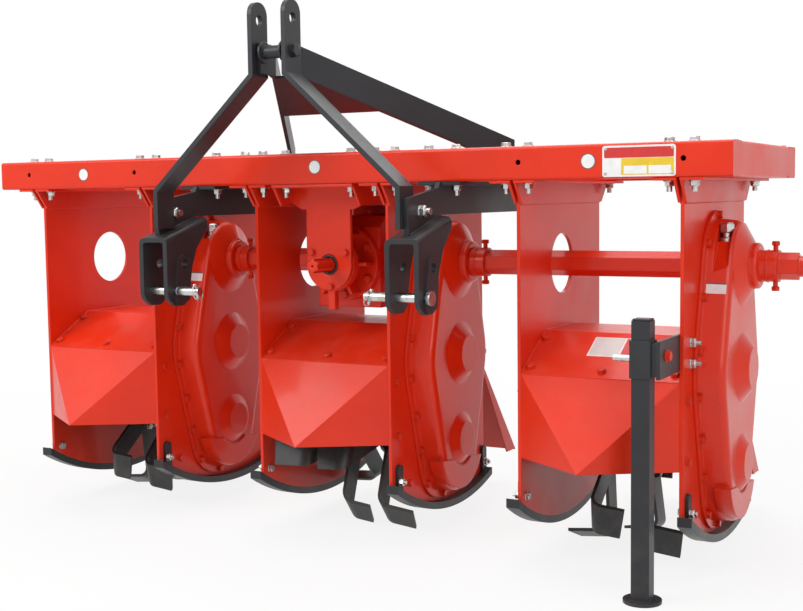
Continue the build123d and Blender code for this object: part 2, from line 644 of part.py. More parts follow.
def long_edges(shape, above):
    """Sloped edges of a shape that lie in planes of constant x with both ends over a height."""
    found = []
    for edge in shape.edges():
        bb = edge.bounding_box()
        if bb.size.X < 0.01 and bb.size.Y > 100 and bb.min.Z > above:
            found.append(edge)
    return found


def make_hitch():
    """Rails, clevises, pins, mast arms, bolt, braces and gusset."""
    parts = {}
    top0 = (-177.0, -125.0)
    top1 = (-13.0, -78.0)
    slope = (top1[1] - top0[1]) / (top1[0] - top0[0])
    for name, side in (("l", -1), ("r", 1)):
        xm = side * HITCH_X
        t0, t1 = sorted((side * (HITCH_X - 4), side * (HITCH_X - 4 + TONGUE_T)))
        rail = cut_yz(
            [(-162, -37), (-9, -14), (0, 0), (FRAME_DEPTH - 3, 0), (FRAME_DEPTH - 3, -75), (0, -75),
             (top1[0], top1[1]), (-155, top0[1] + slope * 22)], t0, t1)
        rail += box(xm + 2 - 54, xm + 2 + 54, 3, FRAME_DEPTH - 3, -8, 0)
        rail -= rod_x(t0 - 1, t1 + 1, -102, -66, 8)
        parts["hitch_rail_" + name] = rail
        ear = [top0, top1, (-13, -105), (-59, -155), (-77, -197), (-86, -235), (-91, -277),
               (-112, -293), (-148, -293), (-170, -278), (-177, -262)]
        clevis = cut_yz(ear, xm - HITCH_W / 2, xm + HITCH_W / 2)
        clevis = fillet(clevis.edges().filter_by(Axis.X).sort_by(Axis.Z)[:4], EAR_ROUND)
        fall = EAR_WEB / cos(atan2(top1[1] - top0[1], top1[0] - top0[0]))
        gap = cut_yz([(top0[0] - 40, top0[1] - fall - 40 * slope), (top1[0] + 40, top1[1] - fall + 40 * slope),
                      (top1[0] + 40, top0[1] - 300), (top0[0] - 40, top0[1] - 300)],
                     xm - HITCH_W / 2 + EAR_T, xm + HITCH_W / 2 - EAR_T)
        gap = fillet(long_edges(gap, top1[1] - fall - 60), EAR_ROUND / 3)
        clevis = fillet(long_edges(clevis, top0[1] - 5), EAR_BEND) - gap
        for cheek in (-1, 1):
            ring_x = sorted((xm + cheek * (HITCH_W / 2 - 1), xm + cheek * (HITCH_W / 2 + RING_T)))
            clevis += rod_x(*ring_x, *RING_HOLE, RING_R) + cut_yz(PAD, *ring_x)
        for y, z in ((PIN_Y, PIN_Z), RING_HOLE):
            clevis -= rod_x(xm - HITCH_W, xm + HITCH_W, y, z, PIN_R + 0.3)
        parts["clevis_" + name] = clevis
        head = xm + side * (HITCH_W / 2 + RING_T + 1)
        free = xm - side * (HITCH_W / 2 + RING_T)
        pin = rod_x(*sorted((free - side * PIN_FREE, head + side * 9)), PIN_Y, PIN_Z, PIN_R)
        pin += rod_x(*sorted((head, head + side * 9)), PIN_Y, PIN_Z, PIN_R + 6)
        groove = rod_x(*sorted((free - side * 3, free - side)), PIN_Y, PIN_Z, PIN_R + 1)
        pin -= groove - rod_x(*sorted((free - side * 4, free)), PIN_Y, PIN_Z, PIN_R - 0.8)
        parts["hitch_pin_" + name] = pin
        low_x = HITCH_X - 4 - MAST_T / 2
        path = [(side * low_x, -104), (side * low_x, -12), (side * MAST_X, 250), (side * MAST_X, MAST_TOP)]
        arm = cut_xz(strip_points(path, MAST_T), MAST_Y0, MAST_Y1)
        tips = arm.edges().filter_by(Axis.X).sort_by(Axis.Z)[-2:]
        arm = fillet(tips, 30)
        mid = (MAST_Y0 + MAST_Y1) / 2
        arm -= rod_x(side * MAST_X - 20, side * MAST_X + 20, mid, MAST_HOLE_Z, MAST_HOLE_R)
        arm -= rod_x(side * MAST_X - 20, side * MAST_X + 20, mid, MAST_BOLT_Z, MAST_BOLT_R)
        parts["mast_arm_" + name] = arm
        plan = strip_points([(MAST_X - MAST_T / 2 - BRACE_T / 2, MAST_Y0 + 20),
                             (MAST_X - MAST_T / 2 - BRACE_T / 2, BRACE_BEND_Y),
                             (BRACE_END_X, BRACE_END_Y)], BRACE_T)
        flat = extrude(make_face(Polyline(*[(side * p[0], p[1], 0) for p in plan], close=True)),
                       MAST_TOP, dir=(0, 0, 1))
        foot_y = BRACE_END_Y - BRACE_FOOT
        last = BRACE_END_Y + BRACE_T
        side_view = [(MAST_Y0, brace_z(MAST_Y1)), (MAST_Y1, brace_z(MAST_Y1)), (last, brace_z(last)),
                     (last, 0), (foot_y, 0), (foot_y, brace_z(foot_y) - BRACE_H),
                     (MAST_Y1, brace_z(MAST_Y1) - BRACE_H), (MAST_Y0, brace_z(MAST_Y1) - BRACE_H)]
        brace = flat & cut_yz(side_view, -FRAME_HALF, FRAME_HALF)
        brace -= rod_x(side * MAST_X - MAST_X, side * MAST_X + MAST_X, mid, MAST_BOLT_Z, MAST_BOLT_R)
        parts["mast_brace_" + name] = brace
    mid = (MAST_Y0 + MAST_Y1) / 2
    bolt = rod_x(-MAST_X - 16, MAST_X + 16, mid, MAST_BOLT_Z, MAST_BOLT_R)
    parts["mast_bolt"] = bolt
    parts["mast_gusset"] = gusset()
    return parts


def gusset():
    """Sloped plate between the lower edges of the two braces."""
    start = MAST_X - MAST_T / 2 - BRACE_T / 2
    run = BRACE_END_Y - BRACE_BEND_Y
    rate = (BRACE_END_X - start) / run
    lap = BRACE_T / 2 * hypot(1.0, rate) + 0.2
    pts = []
    for y, s in ((BRACE_BEND_Y, 1), (GUSSET_Y, 1), (GUSSET_Y, -1), (BRACE_BEND_Y, -1)):
        pts.append((s * (start + rate * (y - BRACE_BEND_Y) - lap), y, 0))
    plate = extrude(make_face(Polyline(*pts, close=True)), MAST_TOP, dir=(0, 0, 1))
    z0 = brace_z(BRACE_BEND_Y) - BRACE_H
    z1 = brace_z(GUSSET_Y) - BRACE_H
    line = [(BRACE_BEND_Y, z0), (GUSSET_Y, z1), (GUSSET_Y, z1 + GUSSET_T), (BRACE_BEND_Y, z0 + GUSSET_T)]
    return plate & cut_yz(line, -FRAME_HALF, FRAME_HALF)


def make_stand():
    """Sleeve with its bracket, the sliding leg and the lock pin."""
    parts = {}
    half = SLEEVE_W / 2
    inner = PITCH + PLATE_IN
    tube = box(STAND_X - half, STAND_X + half, STAND_Y - half, STAND_Y + half, STAND_SLEEVE_LOW,
               STAND_SLEEVE_TOP)
    tube = fillet(tube.edges().filter_by(Axis.Z), 5)
    bore = LEG_W / 2 + 0.4
    tube -= box(STAND_X - bore, STAND_X + bore, STAND_Y - bore, STAND_Y + bore, STAND_SLEEVE_LOW - 1,
                STAND_SLEEVE_TOP + 1)
    tube -= rod_x(STAND_X - half - 1, STAND_X, STAND_Y, -374, 7.05)
    rear = PLATE_FRONT + 62
    low = STAND_SLEEVE_LOW
    bracket = cut_yz([(STAND_Y - half, low), (PLATE_FRONT + 18, low), (rear, low + 24),
                      (rear, STAND_SLEEVE_TOP), (STAND_Y - half, STAND_SLEEVE_TOP)], inner - 8, inner)
    spacer = box(STAND_X + half - 1, inner - 7, STAND_Y - half + 6, STAND_Y + half - 6,
                 STAND_SLEEVE_LOW + 6, STAND_SLEEVE_TOP - 6)
    parts["stand_sleeve"] = tube + bracket + spacer
    leg = box(STAND_X - LEG_W / 2, STAND_X + LEG_W / 2, STAND_Y - LEG_W / 2, STAND_Y + LEG_W / 2,
              GROUND_Z + FOOT_T - 1, LEG_TOP)
    leg = fillet(leg.edges().filter_by(Axis.Z), 4)
    leg += rod_z(GROUND_Z, GROUND_Z + FOOT_T, STAND_X, STAND_Y, FOOT_R)
    parts["stand_leg"] = leg
    pin = rod_x(STAND_X - half - 40, STAND_X - LEG_W / 2 - 1, STAND_Y, -374, 7)
    parts["stand_pin"] = pin
    return parts


def build_all():
    """All nodes by name, each a list of solids, in the working frame."""
    parts = {}
    for group in (make_frame(), make_units(), make_drive(), make_hitch(), make_stand()):
        for name, shape in group.items():
            parts[name] = shape if isinstance(shape, list) else [shape]
    return parts


def bounds_of(parts):
    """Low and high corners over all solids."""
    low = [1e9, 1e9, 1e9]
    high = [-1e9, -1e9, -1e9]
    for solids in parts.values():
        for solid in solids:
            bb = solid.bounding_box()
            for i, (a, b) in enumerate(((bb.min.X, bb.max.X), (bb.min.Y, bb.max.Y), (bb.min.Z, bb.max.Z))):
                low[i] = min(low[i], a)
                high[i] = max(high[i], b)
    return low, high


PARTS = build_all()
LOW, HIGH = bounds_of(PARTS)
SHIFT = (-(LOW[0] + HIGH[0]) / 2, -(LOW[1] + HIGH[1]) / 2, -LOW[2])


def export_all():
    """Write one STEP file for each node."""
    os.makedirs("parts", exist_ok=True)
    for name, solids in PARTS.items():
        moved = [Pos(*SHIFT) * solid for solid in solids]
        shape = moved[0] if len(moved) == 1 else Compound(children=moved)
        shape.label = name
        export_step(shape, "parts/" + name + ".step")


export_all()
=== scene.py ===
"""Looks of a three-row tractor-mounted rotary weeder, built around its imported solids.

Sizes in the classes are millimetres in the maker's own frame: x across the machine from the power
take-off, y rearward from the front face of the front beam, z up from the underside of the beams.
``Datum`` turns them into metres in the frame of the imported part.
"""
from __future__ import annotations

import json
import logging
import math
from dataclasses import astuple, dataclass
from enum import Enum
from typing import Sequence

import bmesh
import bpy
from mathutils import Matrix, Vector

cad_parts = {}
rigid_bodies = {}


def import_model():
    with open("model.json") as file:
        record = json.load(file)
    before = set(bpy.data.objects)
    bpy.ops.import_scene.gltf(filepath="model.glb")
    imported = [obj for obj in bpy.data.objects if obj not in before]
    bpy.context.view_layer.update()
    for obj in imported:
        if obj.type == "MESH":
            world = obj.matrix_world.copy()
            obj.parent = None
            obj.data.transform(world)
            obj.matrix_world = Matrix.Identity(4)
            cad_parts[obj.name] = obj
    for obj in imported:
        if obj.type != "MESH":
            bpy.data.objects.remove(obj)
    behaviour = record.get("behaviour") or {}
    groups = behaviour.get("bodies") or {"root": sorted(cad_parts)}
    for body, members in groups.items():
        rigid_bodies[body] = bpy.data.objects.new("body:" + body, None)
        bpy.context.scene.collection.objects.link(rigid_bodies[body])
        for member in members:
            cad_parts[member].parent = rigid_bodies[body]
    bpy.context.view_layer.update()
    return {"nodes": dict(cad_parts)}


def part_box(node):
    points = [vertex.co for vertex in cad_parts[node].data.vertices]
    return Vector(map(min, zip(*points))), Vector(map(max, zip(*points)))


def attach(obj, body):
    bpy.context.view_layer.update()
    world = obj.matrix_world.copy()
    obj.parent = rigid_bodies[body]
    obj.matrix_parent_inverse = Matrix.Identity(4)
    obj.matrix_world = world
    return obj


LOG = logging.getLogger("weeder")
MM = 0.001
NO_AREA = 1e-11
RIPPLE_SHARE = 2.4
POINT_GAP = 0.01
SQUARE = ((-1, -1), (1, -1), (1, 1), (-1, 1))
WHITE = (1.0, 1.0, 1.0, 1.0)
Spot = tuple[Vector, Vector]
Place = tuple[float, float, float]
Colour = tuple[float, float, float]


class Slot(Enum):
    """Material slots of the record."""

    RED = "red_paint"
    BLACK = "black_paint"
    ZINC = "zinc"


class Face(Enum):
    """Directions that a fastener or a plate can face."""

    LEFT = (-1.0, 0.0, 0.0)
    RIGHT = (1.0, 0.0, 0.0)
    FRONT = (0.0, -1.0, 0.0)
    REAR = (0.0, 1.0, 0.0)
    UP = (0.0, 0.0, 1.0)
    DOWN = (0.0, 0.0, -1.0)

    def vector(self) -> Vector:
        """Unit vector of the direction."""
        return Vector(self.value)


class Datum:
    """Origin of the maker's frame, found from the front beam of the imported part."""

    def __init__(self) -> None:
        """Read the front beam's corners."""
        low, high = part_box("front_beam")
        self.origin = Vector(((low.x + high.x) / 2, low.y, low.z))
        self.beam = (high.z - low.z) / MM
        self.half = (high.x - low.x) / 2 / MM
        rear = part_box("rear_beam")[1]
        self.depth = (rear.y - low.y) / MM

    def at(self, x: float, y: float, z: float) -> Vector:
        """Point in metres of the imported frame.

        Args:
            x: Distance across the machine.
            y: Distance rearward.
            z: Height over the beams' underside.

        Returns:
            The point.
        """
        return self.origin + Vector((x, y, z)) * MM


class Wiring:
    """Adds and links nodes of one tree."""

    def __init__(self, tree: bpy.types.NodeTree) -> None:
        """Keep the tree."""
        self.tree = tree

    def put(self, node: bpy.types.Node, key: str | int, value: object) -> None:
        """Link a socket to one input of a node, or set its value.

        Args:
            node: The node.
            key: Name or number of its input.
            value: A socket or a plain value.
        """
        if isinstance(value, bpy.types.NodeSocket):
            self.tree.links.new(value, node.inputs[key])
        else:
            node.inputs[key].default_value = value

    def add(self, kind: str, inputs: dict[str | int, object] | None = None, **settings: object) -> bpy.types.Node:
        """Add a node.

        Args:
            kind: Blender's name of the node type.
            inputs: Values or sockets for its inputs, by name or number.
            settings: Properties of the node.

        Returns:
            The node.
        """
        node = self.tree.nodes.new(kind)
        for name, value in settings.items():
            setattr(node, name, value)
        for key, value in (inputs or {}).items():
            self.put(node, key, value)
        return node

    def math(self, operation: str, a: object, b: object = 0.0, clamp: bool = False) -> bpy.types.NodeSocket:
        """Result of a Math node on a and b."""
        return self.add("ShaderNodeMath", {0: a, 1: b}, operation=operation, use_clamp=clamp).outputs[0]

    def blend(self, share: object, first: object, second: object) -> bpy.types.NodeSocket:
        """Colour between first and second by share."""
        return self.add("ShaderNodeMix", {0: share, 6: first, 7: second}, data_type="RGBA").outputs[2]

    def span(self, value: object, low: float, high: float, start: float, end: float) -> bpy.types.NodeSocket:
        """Value mapped from low..high to start..end, held at the ends."""
        return self.add("ShaderNodeMapRange", {0: value, 1: low, 2: high, 3: start, 4: end}).outputs[0]

    def noise(self, scale: object, detail: float, roughness: float) -> bpy.types.NodeSocket:
        """Noise over the object's own space.

        Args:
            scale: Value or socket of its scale.
            detail: Number of its finer layers.
            roughness: Weight of the finer layers.

        Returns:
            Its value.
        """
        place = self.add("ShaderNodeTexCoord").outputs["Object"]
        inputs = {"Vector": place, "Scale": scale, "Detail": detail, "Roughness": roughness}
        return self.add("ShaderNodeTexNoise", inputs).outputs[0]


def open_group(name: str, inputs: dict[str, float],
               outputs: dict[str, str]) -> tuple[Wiring, bpy.types.NodeOutputs, bpy.types.Node]:
    """Start a shader node group.

    Args:
        name: Name of the group.
        inputs: Names and defaults of its number inputs.
        outputs: Names and socket types of its outputs.

    Returns:
        The wiring of the group, the sockets of its input node and its output node.
    """
    tree = bpy.data.node_groups.new(name, "ShaderNodeTree")
    for label, value in inputs.items():
        tree.interface.new_socket(label, in_out="INPUT", socket_type="NodeSocketFloat").default_value = value
    for label, kind in outputs.items():
        tree.interface.new_socket(label, in_out="OUTPUT", socket_type=kind)
    wiring = Wiring(tree)
    return wiring, wiring.add("NodeGroupInput").outputs, wiring.add("NodeGroupOutput")


class Patterns:
    """Shader node groups that several finishes share."""

    FLAT_EDGE, FULL_EDGE = 0.97, 0.80
    WEAR_CONTRAST = 9.0
    LEVEL, UPWARD = 0.3, 1.0
    CLINGS_LOW, CLINGS_HIGH, CLING = 0.2, 1.0, 0.7
    SPECK_START, SPECK_FULL = 0.42, 0.72

    def __init__(self) -> None:
        """Build every group once."""
        self.wear = self._edge_wear()
        self.grain = self._grain()
        self.dust = self._dust()

    def _edge_wear(self) -> bpy.types.NodeTree:
        """Mask of rubbed edges and the normal of slightly rounded edges."""
        wiring, enter, leave = open_group(
            "edge_wear", {"Radius": 0.002, "Patch Size": 40.0, "Amount": 0.5},
            {"Mask": "NodeSocketFloat", "Normal": "NodeSocketVector"})
        rounded = wiring.add("ShaderNodeBevel", {"Radius": enter["Radius"]}, samples=6).outputs[0]
        flat = wiring.add("ShaderNodeNewGeometry").outputs["Normal"]
        lean = wiring.add("ShaderNodeVectorMath", {0: rounded, 1: flat}, operation="DOT_PRODUCT")
        edge = wiring.span(lean.outputs["Value"], self.FLAT_EDGE, self.FULL_EDGE, 0.0, 1.0)
        limit = wiring.math("SUBTRACT", 1.0, enter["Amount"])
        broken = wiring.math("SUBTRACT", wiring.noise(enter["Patch Size"], 5.0, 0.65), limit)
        patch = wiring.math("MULTIPLY", broken, self.WEAR_CONTRAST, clamp=True)
        wiring.put(leave, "Mask", wiring.math("MULTIPLY", patch, edge, clamp=True))
        wiring.put(leave, "Normal", rounded)
        return wiring.tree

    def _grain(self) -> bpy.types.NodeTree:
        """Fine height of sprayed paint or plating, and a slow drift over the surface."""
        wiring, enter, leave = open_group(
            "paint_grain", {"Grain Size": 400.0, "Drift Size": 6.0},
            {"Height": "NodeSocketFloat", "Drift": "NodeSocketFloat"})
        wiring.put(leave, "Height", wiring.noise(enter["Grain Size"], 3.0, 0.55))
        wiring.put(leave, "Drift", wiring.noise(enter["Drift Size"], 4.0, 0.6))
        return wiring.tree

    def _dust(self) -> bpy.types.NodeTree:
        """Mask of the dust that lies on upward faces and clings low down."""
        wiring, enter, leave = open_group(
            "settled_dust", {"Amount": 0.3, "Low Height": 0.35}, {"Mask": "NodeSocketFloat"})
        place = wiring.add("ShaderNodeTexCoord").outputs["Object"]
        normal = wiring.add("ShaderNodeNewGeometry").outputs["Normal"]
        height, facing = (wiring.add("ShaderNodeSeparateXYZ", {0: way}).outputs["Z"] for way in (place, normal))
        above = wiring.span(facing, self.LEVEL, self.UPWARD, 0.0, 1.0)
        low = wiring.span(wiring.math("DIVIDE", height, enter["Low Height"]), self.CLINGS_LOW, self.CLINGS_HIGH,
                          self.CLING, 0.0)
        speck = wiring.span(wiring.noise(14.0, 8.0, 0.7), self.SPECK_START, self.SPECK_FULL, 0.0, 1.0)
        both = wiring.math("MULTIPLY", wiring.math("MAXIMUM", above, low), speck)
        wiring.put(leave, "Mask", wiring.math("MULTIPLY", both, enter["Amount"], clamp=True))
        return wiring.tree


class Surface:
    """Material in the making, with its wiring, shader and grain."""

    def __init__(self, name: str, colour: Colour, patterns: Patterns, grain_size: float,
                 drift_size: float = 6.0) -> None:
        """Open the material.

        Args:
            name: Name of the material.
            colour: Its plain colour.
            patterns: The shared node groups.
            grain_size: Scale of the fine grain.
            drift_size: Scale of the slow drift.
        """
        self.material = bpy.data.materials.new(name)
        self.material.use_nodes = True
        self.material.diffuse_color = (*colour, 1.0)
        self.wiring = Wiring(self.material.node_tree)
        self.shader = self.material.node_tree.nodes["Principled BSDF"]
        self.grain = self.group(patterns.grain, {"Grain Size": grain_size, "Drift Size": drift_size})

    def group(self, tree: bpy.types.NodeTree, inputs: dict[str, float]) -> bpy.types.NodeOutputs:
        """Outputs of a shared node group."""
        return self.wiring.add("ShaderNodeGroup", inputs, node_tree=tree).outputs

    def drift(self, low: float, high: float, start: float = 0.0, end: float = 1.0) -> bpy.types.NodeSocket:
        """Slow drift over the surface, mapped from low..high to start..end."""
        return self.wiring.span(self.grain["Drift"], low, high, start, end)

    def feed(self, inputs: dict[str, object]) -> None:
        """Link or set inputs of the shader."""
        for name, value in inputs.items():
            self.wiring.put(self.shader, name, value)

    def close(self, depth: float, strength: float, normal: bpy.types.NodeSocket | None = None) -> bpy.types.Material:
        """End the material with the bump of its grain.

        Args:
            depth: Depth of the bump in metres.
            strength: Share of the bump.
            normal: Normal that the bump bends, where it isn't the surface's own.

        Returns:
            The material.
        """
        inputs = {"Distance": depth, "Strength": strength, "Height": self.grain["Height"]}
        bump = self.wiring.add("ShaderNodeBump", inputs | ({"Normal": normal} if normal else {}))
        self.feed({"Normal": bump.outputs[0]})
        return self.material


@dataclass(frozen=True)
class Enamel:
    """Sprayed enamel with worn edges and dust."""

    name: str
    slot: Slot
    colour: Colour
    deep: Colour
    under: Colour
    roughness: float
    coat: float
    coat_roughness: float
    grain_size: float
    grain_depth: float
    edge_radius: float
    wear: float
    dust: float
    dust_colour: Colour = (0.42, 0.36, 0.29)
    gloss: float = 0.28

    def build(self, patterns: Patterns) -> bpy.types.Material:
        """Make the material.

        Args:
            patterns: The shared node groups.

        Returns:
            The material.
        """
        surface = Surface(self.name, self.colour, patterns, self.grain_size)
        wiring = surface.wiring
        wear = surface.group(patterns.wear, {"Radius": self.edge_radius, "Amount": self.wear})
        dust = surface.group(patterns.dust, {"Amount": self.dust})["Mask"]
        paint = wiring.blend(surface.drift(0.3, 0.7), (*self.deep, 1.0), (*self.colour, 1.0))
        worn = wiring.blend(wear["Mask"], paint, (*self.under, 1.0))
        drift = surface.drift(0.3, 0.7, self.roughness * 0.8, self.roughness * 1.2)
        surface.feed({
            "Base Color": wiring.blend(dust, worn, (*self.dust_colour, 1.0)),
            "Roughness": wiring.math("ADD", drift, wiring.math("MULTIPLY", dust, 0.5), clamp=True),
            "Coat Weight": wiring.math("MULTIPLY", wiring.math("SUBTRACT", 1.0, dust), self.coat),
            "Coat Roughness": self.coat_roughness,
            "Specular IOR Level": self.gloss,
        })
        return surface.close(self.grain_depth, 0.5, wear["Normal"])


@dataclass(frozen=True)
class Plating:
    """Metal plating or bare metal with stains."""

    name: str
    slot: Slot
    colour: Colour
    stain: Colour
    roughness: float
    edge_radius: float

    def build(self, patterns: Patterns) -> bpy.types.Material:
        """Make the material.

        Args:
            patterns: The shared node groups.

        Returns:
            The material.
        """
        surface = Surface(self.name, self.colour, patterns, 900.0, 60.0)
        wear = surface.group(patterns.wear, {"Radius": self.edge_radius})
        surface.feed({
            "Base Color": surface.wiring.blend(surface.drift(0.45, 0.75), (*self.colour, 1.0), (*self.stain, 1.0)),
            "Roughness": surface.drift(0.3, 0.7, self.roughness * 0.7, self.roughness * 1.4),
            "Metallic": 1.0,
        })
        return surface.close(0.0002, 0.4, wear["Normal"])


@dataclass(frozen=True)
class Film:
    """Printed plastic film of a blank plate."""

    name: str
    colour: Colour
    roughness: float = 0.35

    def build(self, patterns: Patterns) -> bpy.types.Material:
        """Make the material.

        Args:
            patterns: The shared node groups.

        Returns:
            The material.
        """
        surface = Surface(self.name, self.colour, patterns, 250.0, 45.0)
        faded = tuple(part * 0.86 for part in self.colour)
        surface.feed({
            "Base Color": surface.wiring.blend(surface.drift(0.35, 0.75), (*self.colour, 1.0), (*faded, 1.0)),
            "Roughness": surface.drift(0.3, 0.7, self.roughness * 0.8, self.roughness * 1.2),
        })
        return surface.close(0.0001, 0.3)


RED_ENAMEL = Enamel("red_enamel", Slot.RED, (0.76, 0.029, 0.004), (0.67, 0.024, 0.003), (0.30, 0.06, 0.035),
                    0.38, 0.16, 0.12, 260.0, 0.0004, 0.0022, 0.36, 0.10)
CASE_ENAMEL = Enamel("gear_case_enamel", Slot.RED, (0.76, 0.029, 0.004), (0.67, 0.024, 0.003),
                     (0.42, 0.05, 0.03), 0.34, 0.24, 0.10, 180.0, 0.0006, 0.0065, 0.30, 0.08)
BOLT_ENAMEL = Enamel("painted_bolt_enamel", Slot.RED, (0.72, 0.029, 0.004), (0.58, 0.023, 0.003),
                     (0.34, 0.07, 0.04), 0.38, 0.2, 0.14, 420.0, 0.0003, 0.0012, 0.40, 0.12)
BLACK_ENAMEL = Enamel("black_enamel", Slot.BLACK, (0.024, 0.025, 0.029), (0.015, 0.016, 0.019),
                      (0.09, 0.09, 0.10), 0.44, 0.18, 0.25, 700.0, 0.0009, 0.0022, 0.42, 0.08)
BLADE_ENAMEL = Enamel("blade_enamel", Slot.BLACK, (0.024, 0.024, 0.026), (0.014, 0.014, 0.015),
                      (0.16, 0.15, 0.145), 0.46, 0.2, 0.25, 500.0, 0.0006, 0.0015, 0.50, 0.16)
ZINC_PLATING = Plating("zinc_plating", Slot.ZINC, (0.58, 0.59, 0.59), (0.30, 0.28, 0.23), 0.28, 0.0008)
LABEL_WHITE = Film("label_white", (0.86, 0.86, 0.85))
LABEL_RED = Film("label_red", (0.62, 0.03, 0.03))
LABEL_YELLOW = Film("label_yellow", (0.80, 0.55, 0.03))
LABEL_GREY = Film("label_grey", (0.10, 0.10, 0.11))
LABEL_PLAIN = Film("label_plain", (0.70, 0.70, 0.69))
Finish = Enamel | Plating | Film


class PaintShop:
    """Makes each finish's material once and hands it out."""

    def __init__(self) -> None:
        """Build the shared patterns."""
        self.patterns = Patterns()
        self.made: dict[str, bpy.types.Material] = {}

    def material(self, finish: Finish) -> bpy.types.Material:
        """Material of a finish.

        Args:
            finish: The finish.

        Returns:
            The material, the same one each time.
        """
        if finish.name not in self.made:
            self.made[finish.name] = finish.build(self.patterns)
        return self.made[finish.name]

    def coat(self, thing: bpy.types.Object, finish: Finish) -> None:
        """Give every slot of an object the material of a finish.

        Args:
            thing: The object.
            finish: The finish.
        """
        material = self.material(finish)
        if not thing.material_slots:
            thing.data.materials.append(material)
        for slot in thing.material_slots:
            slot.material = material


def new_piece(name: str, mesh: bpy.types.Mesh, body: str) -> bpy.types.Object:
    """Add a finished mesh to the scene as a piece that rides on a body.

    Args:
        name: Name of the piece.
        mesh: Its mesh, with its place in the vertices.
        body: The body that it rides on.

    Returns:
        The piece.
    """
    mesh.name = name
    piece = bpy.data.objects.new(name, mesh)
    bpy.context.scene.collection.objects.link(piece)
    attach(piece, body)
    LOG.info("piece %s on %s: %d faces", name, body, len(mesh.polygons))
    return piece


@dataclass(frozen=True)
class Fastener:
    """Sizes of a bolt head, nut or plug."""

    across: float
    height: float
    washer: float = 0.0
    washer_height: float = 0.0
    shank: float = 0.0
    shank_height: float = 0.0


M16_BOLT = Fastener(across=24.0, height=10.0, washer=15.0, washer_height=3.0)
TONGUE_NUT = Fastener(across=24.0, height=13.0, washer=15.0, washer_height=3.0, shank=8.0, shank_height=27.0)
M18_NUT = Fastener(across=28.0, height=9.0, washer=16.0, washer_height=2.0)
M12_BOLT = Fastener(across=19.0, height=8.0, washer=13.0, washer_height=2.5)
M12_NUT = Fastener(across=19.0, height=10.0, washer=13.0, washer_height=2.5, shank=6.0, shank_height=24.0)
M10_BOLT = Fastener(across=17.0, height=7.0, washer=10.5, washer_height=2.0)
M10_NUT = Fastener(across=17.0, height=8.0, washer=10.5, washer_height=2.0, shank=5.0, shank_height=16.0)
RIM_BOLT = Fastener(across=16.0, height=8.0, washer=9.8, washer_height=1.8)
M8_BOLT = Fastener(across=13.0, height=5.5, washer=8.5, washer_height=1.6)
RIVET = Fastener(across=4.5, height=1.4, washer=3.6, washer_height=0.7)


class PieceTree:
    """Geometry Nodes tree that turns a carrier mesh into one plain piece."""

    def __init__(self, name: str, inputs: dict[str, str]) -> None:
        """Open the tree.

        Args:
            name: Name of the tree.
            inputs: Names and socket types of its inputs.
        """
        self.tree = bpy.data.node_groups.new(name, "GeometryNodeTree")
        face = self.tree.interface
        kinds = {"Geometry": "NodeSocketGeometry"} | inputs | {"Finish": "NodeSocketMaterial"}
        self.keys = {label: face.new_socket(label, in_out="INPUT", socket_type=kind).identifier
                     for label, kind in kinds.items()}
        face.new_socket("Geometry", in_out="OUTPUT", socket_type="NodeSocketGeometry")
        self.wiring = Wiring(self.tree)
        self.enter = self.wiring.add("NodeGroupInput").outputs
        self.leave = self.wiring.add("NodeGroupOutput")

    def close(self, geometry: bpy.types.NodeSocket) -> None:
        """End the tree with real geometry that carries the finish.

        Args:
            geometry: What the tree has made.
        """
        real = self.wiring.add("GeometryNodeRealizeInstances", {0: geometry})
        done = self.wiring.add("GeometryNodeSetMaterial", {"Geometry": real.outputs[0],
                                                           "Material": self.enter["Finish"]})
        self.tree.links.new(done.outputs[0], self.leave.inputs[0])

    def run(self, name: str, body: str, mesh: bpy.types.Mesh, settings: dict[str, float], finish: Finish,
            shop: PaintShop) -> bpy.types.Object:
        """Run the tree on a mesh.

        Args:
            name: Name of the piece.
            body: The body that it rides on.
            mesh: Points or lines that the tree works on.
            settings: Values of the tree's inputs by name.
            finish: The piece's finish.
            shop: Where the material comes from.

        Returns:
            The piece.
        """
        carrier = bpy.data.objects.new(name + "_carrier", mesh)
        bpy.context.scene.collection.objects.link(carrier)
        modifier = carrier.modifiers.new("tree", "NODES")
        modifier.node_group = self.tree
        for label, value in (settings | {"Finish": shop.material(finish)}).items():
            modifier[self.keys[label]] = value
        return new_piece(name, bake(carrier), body)


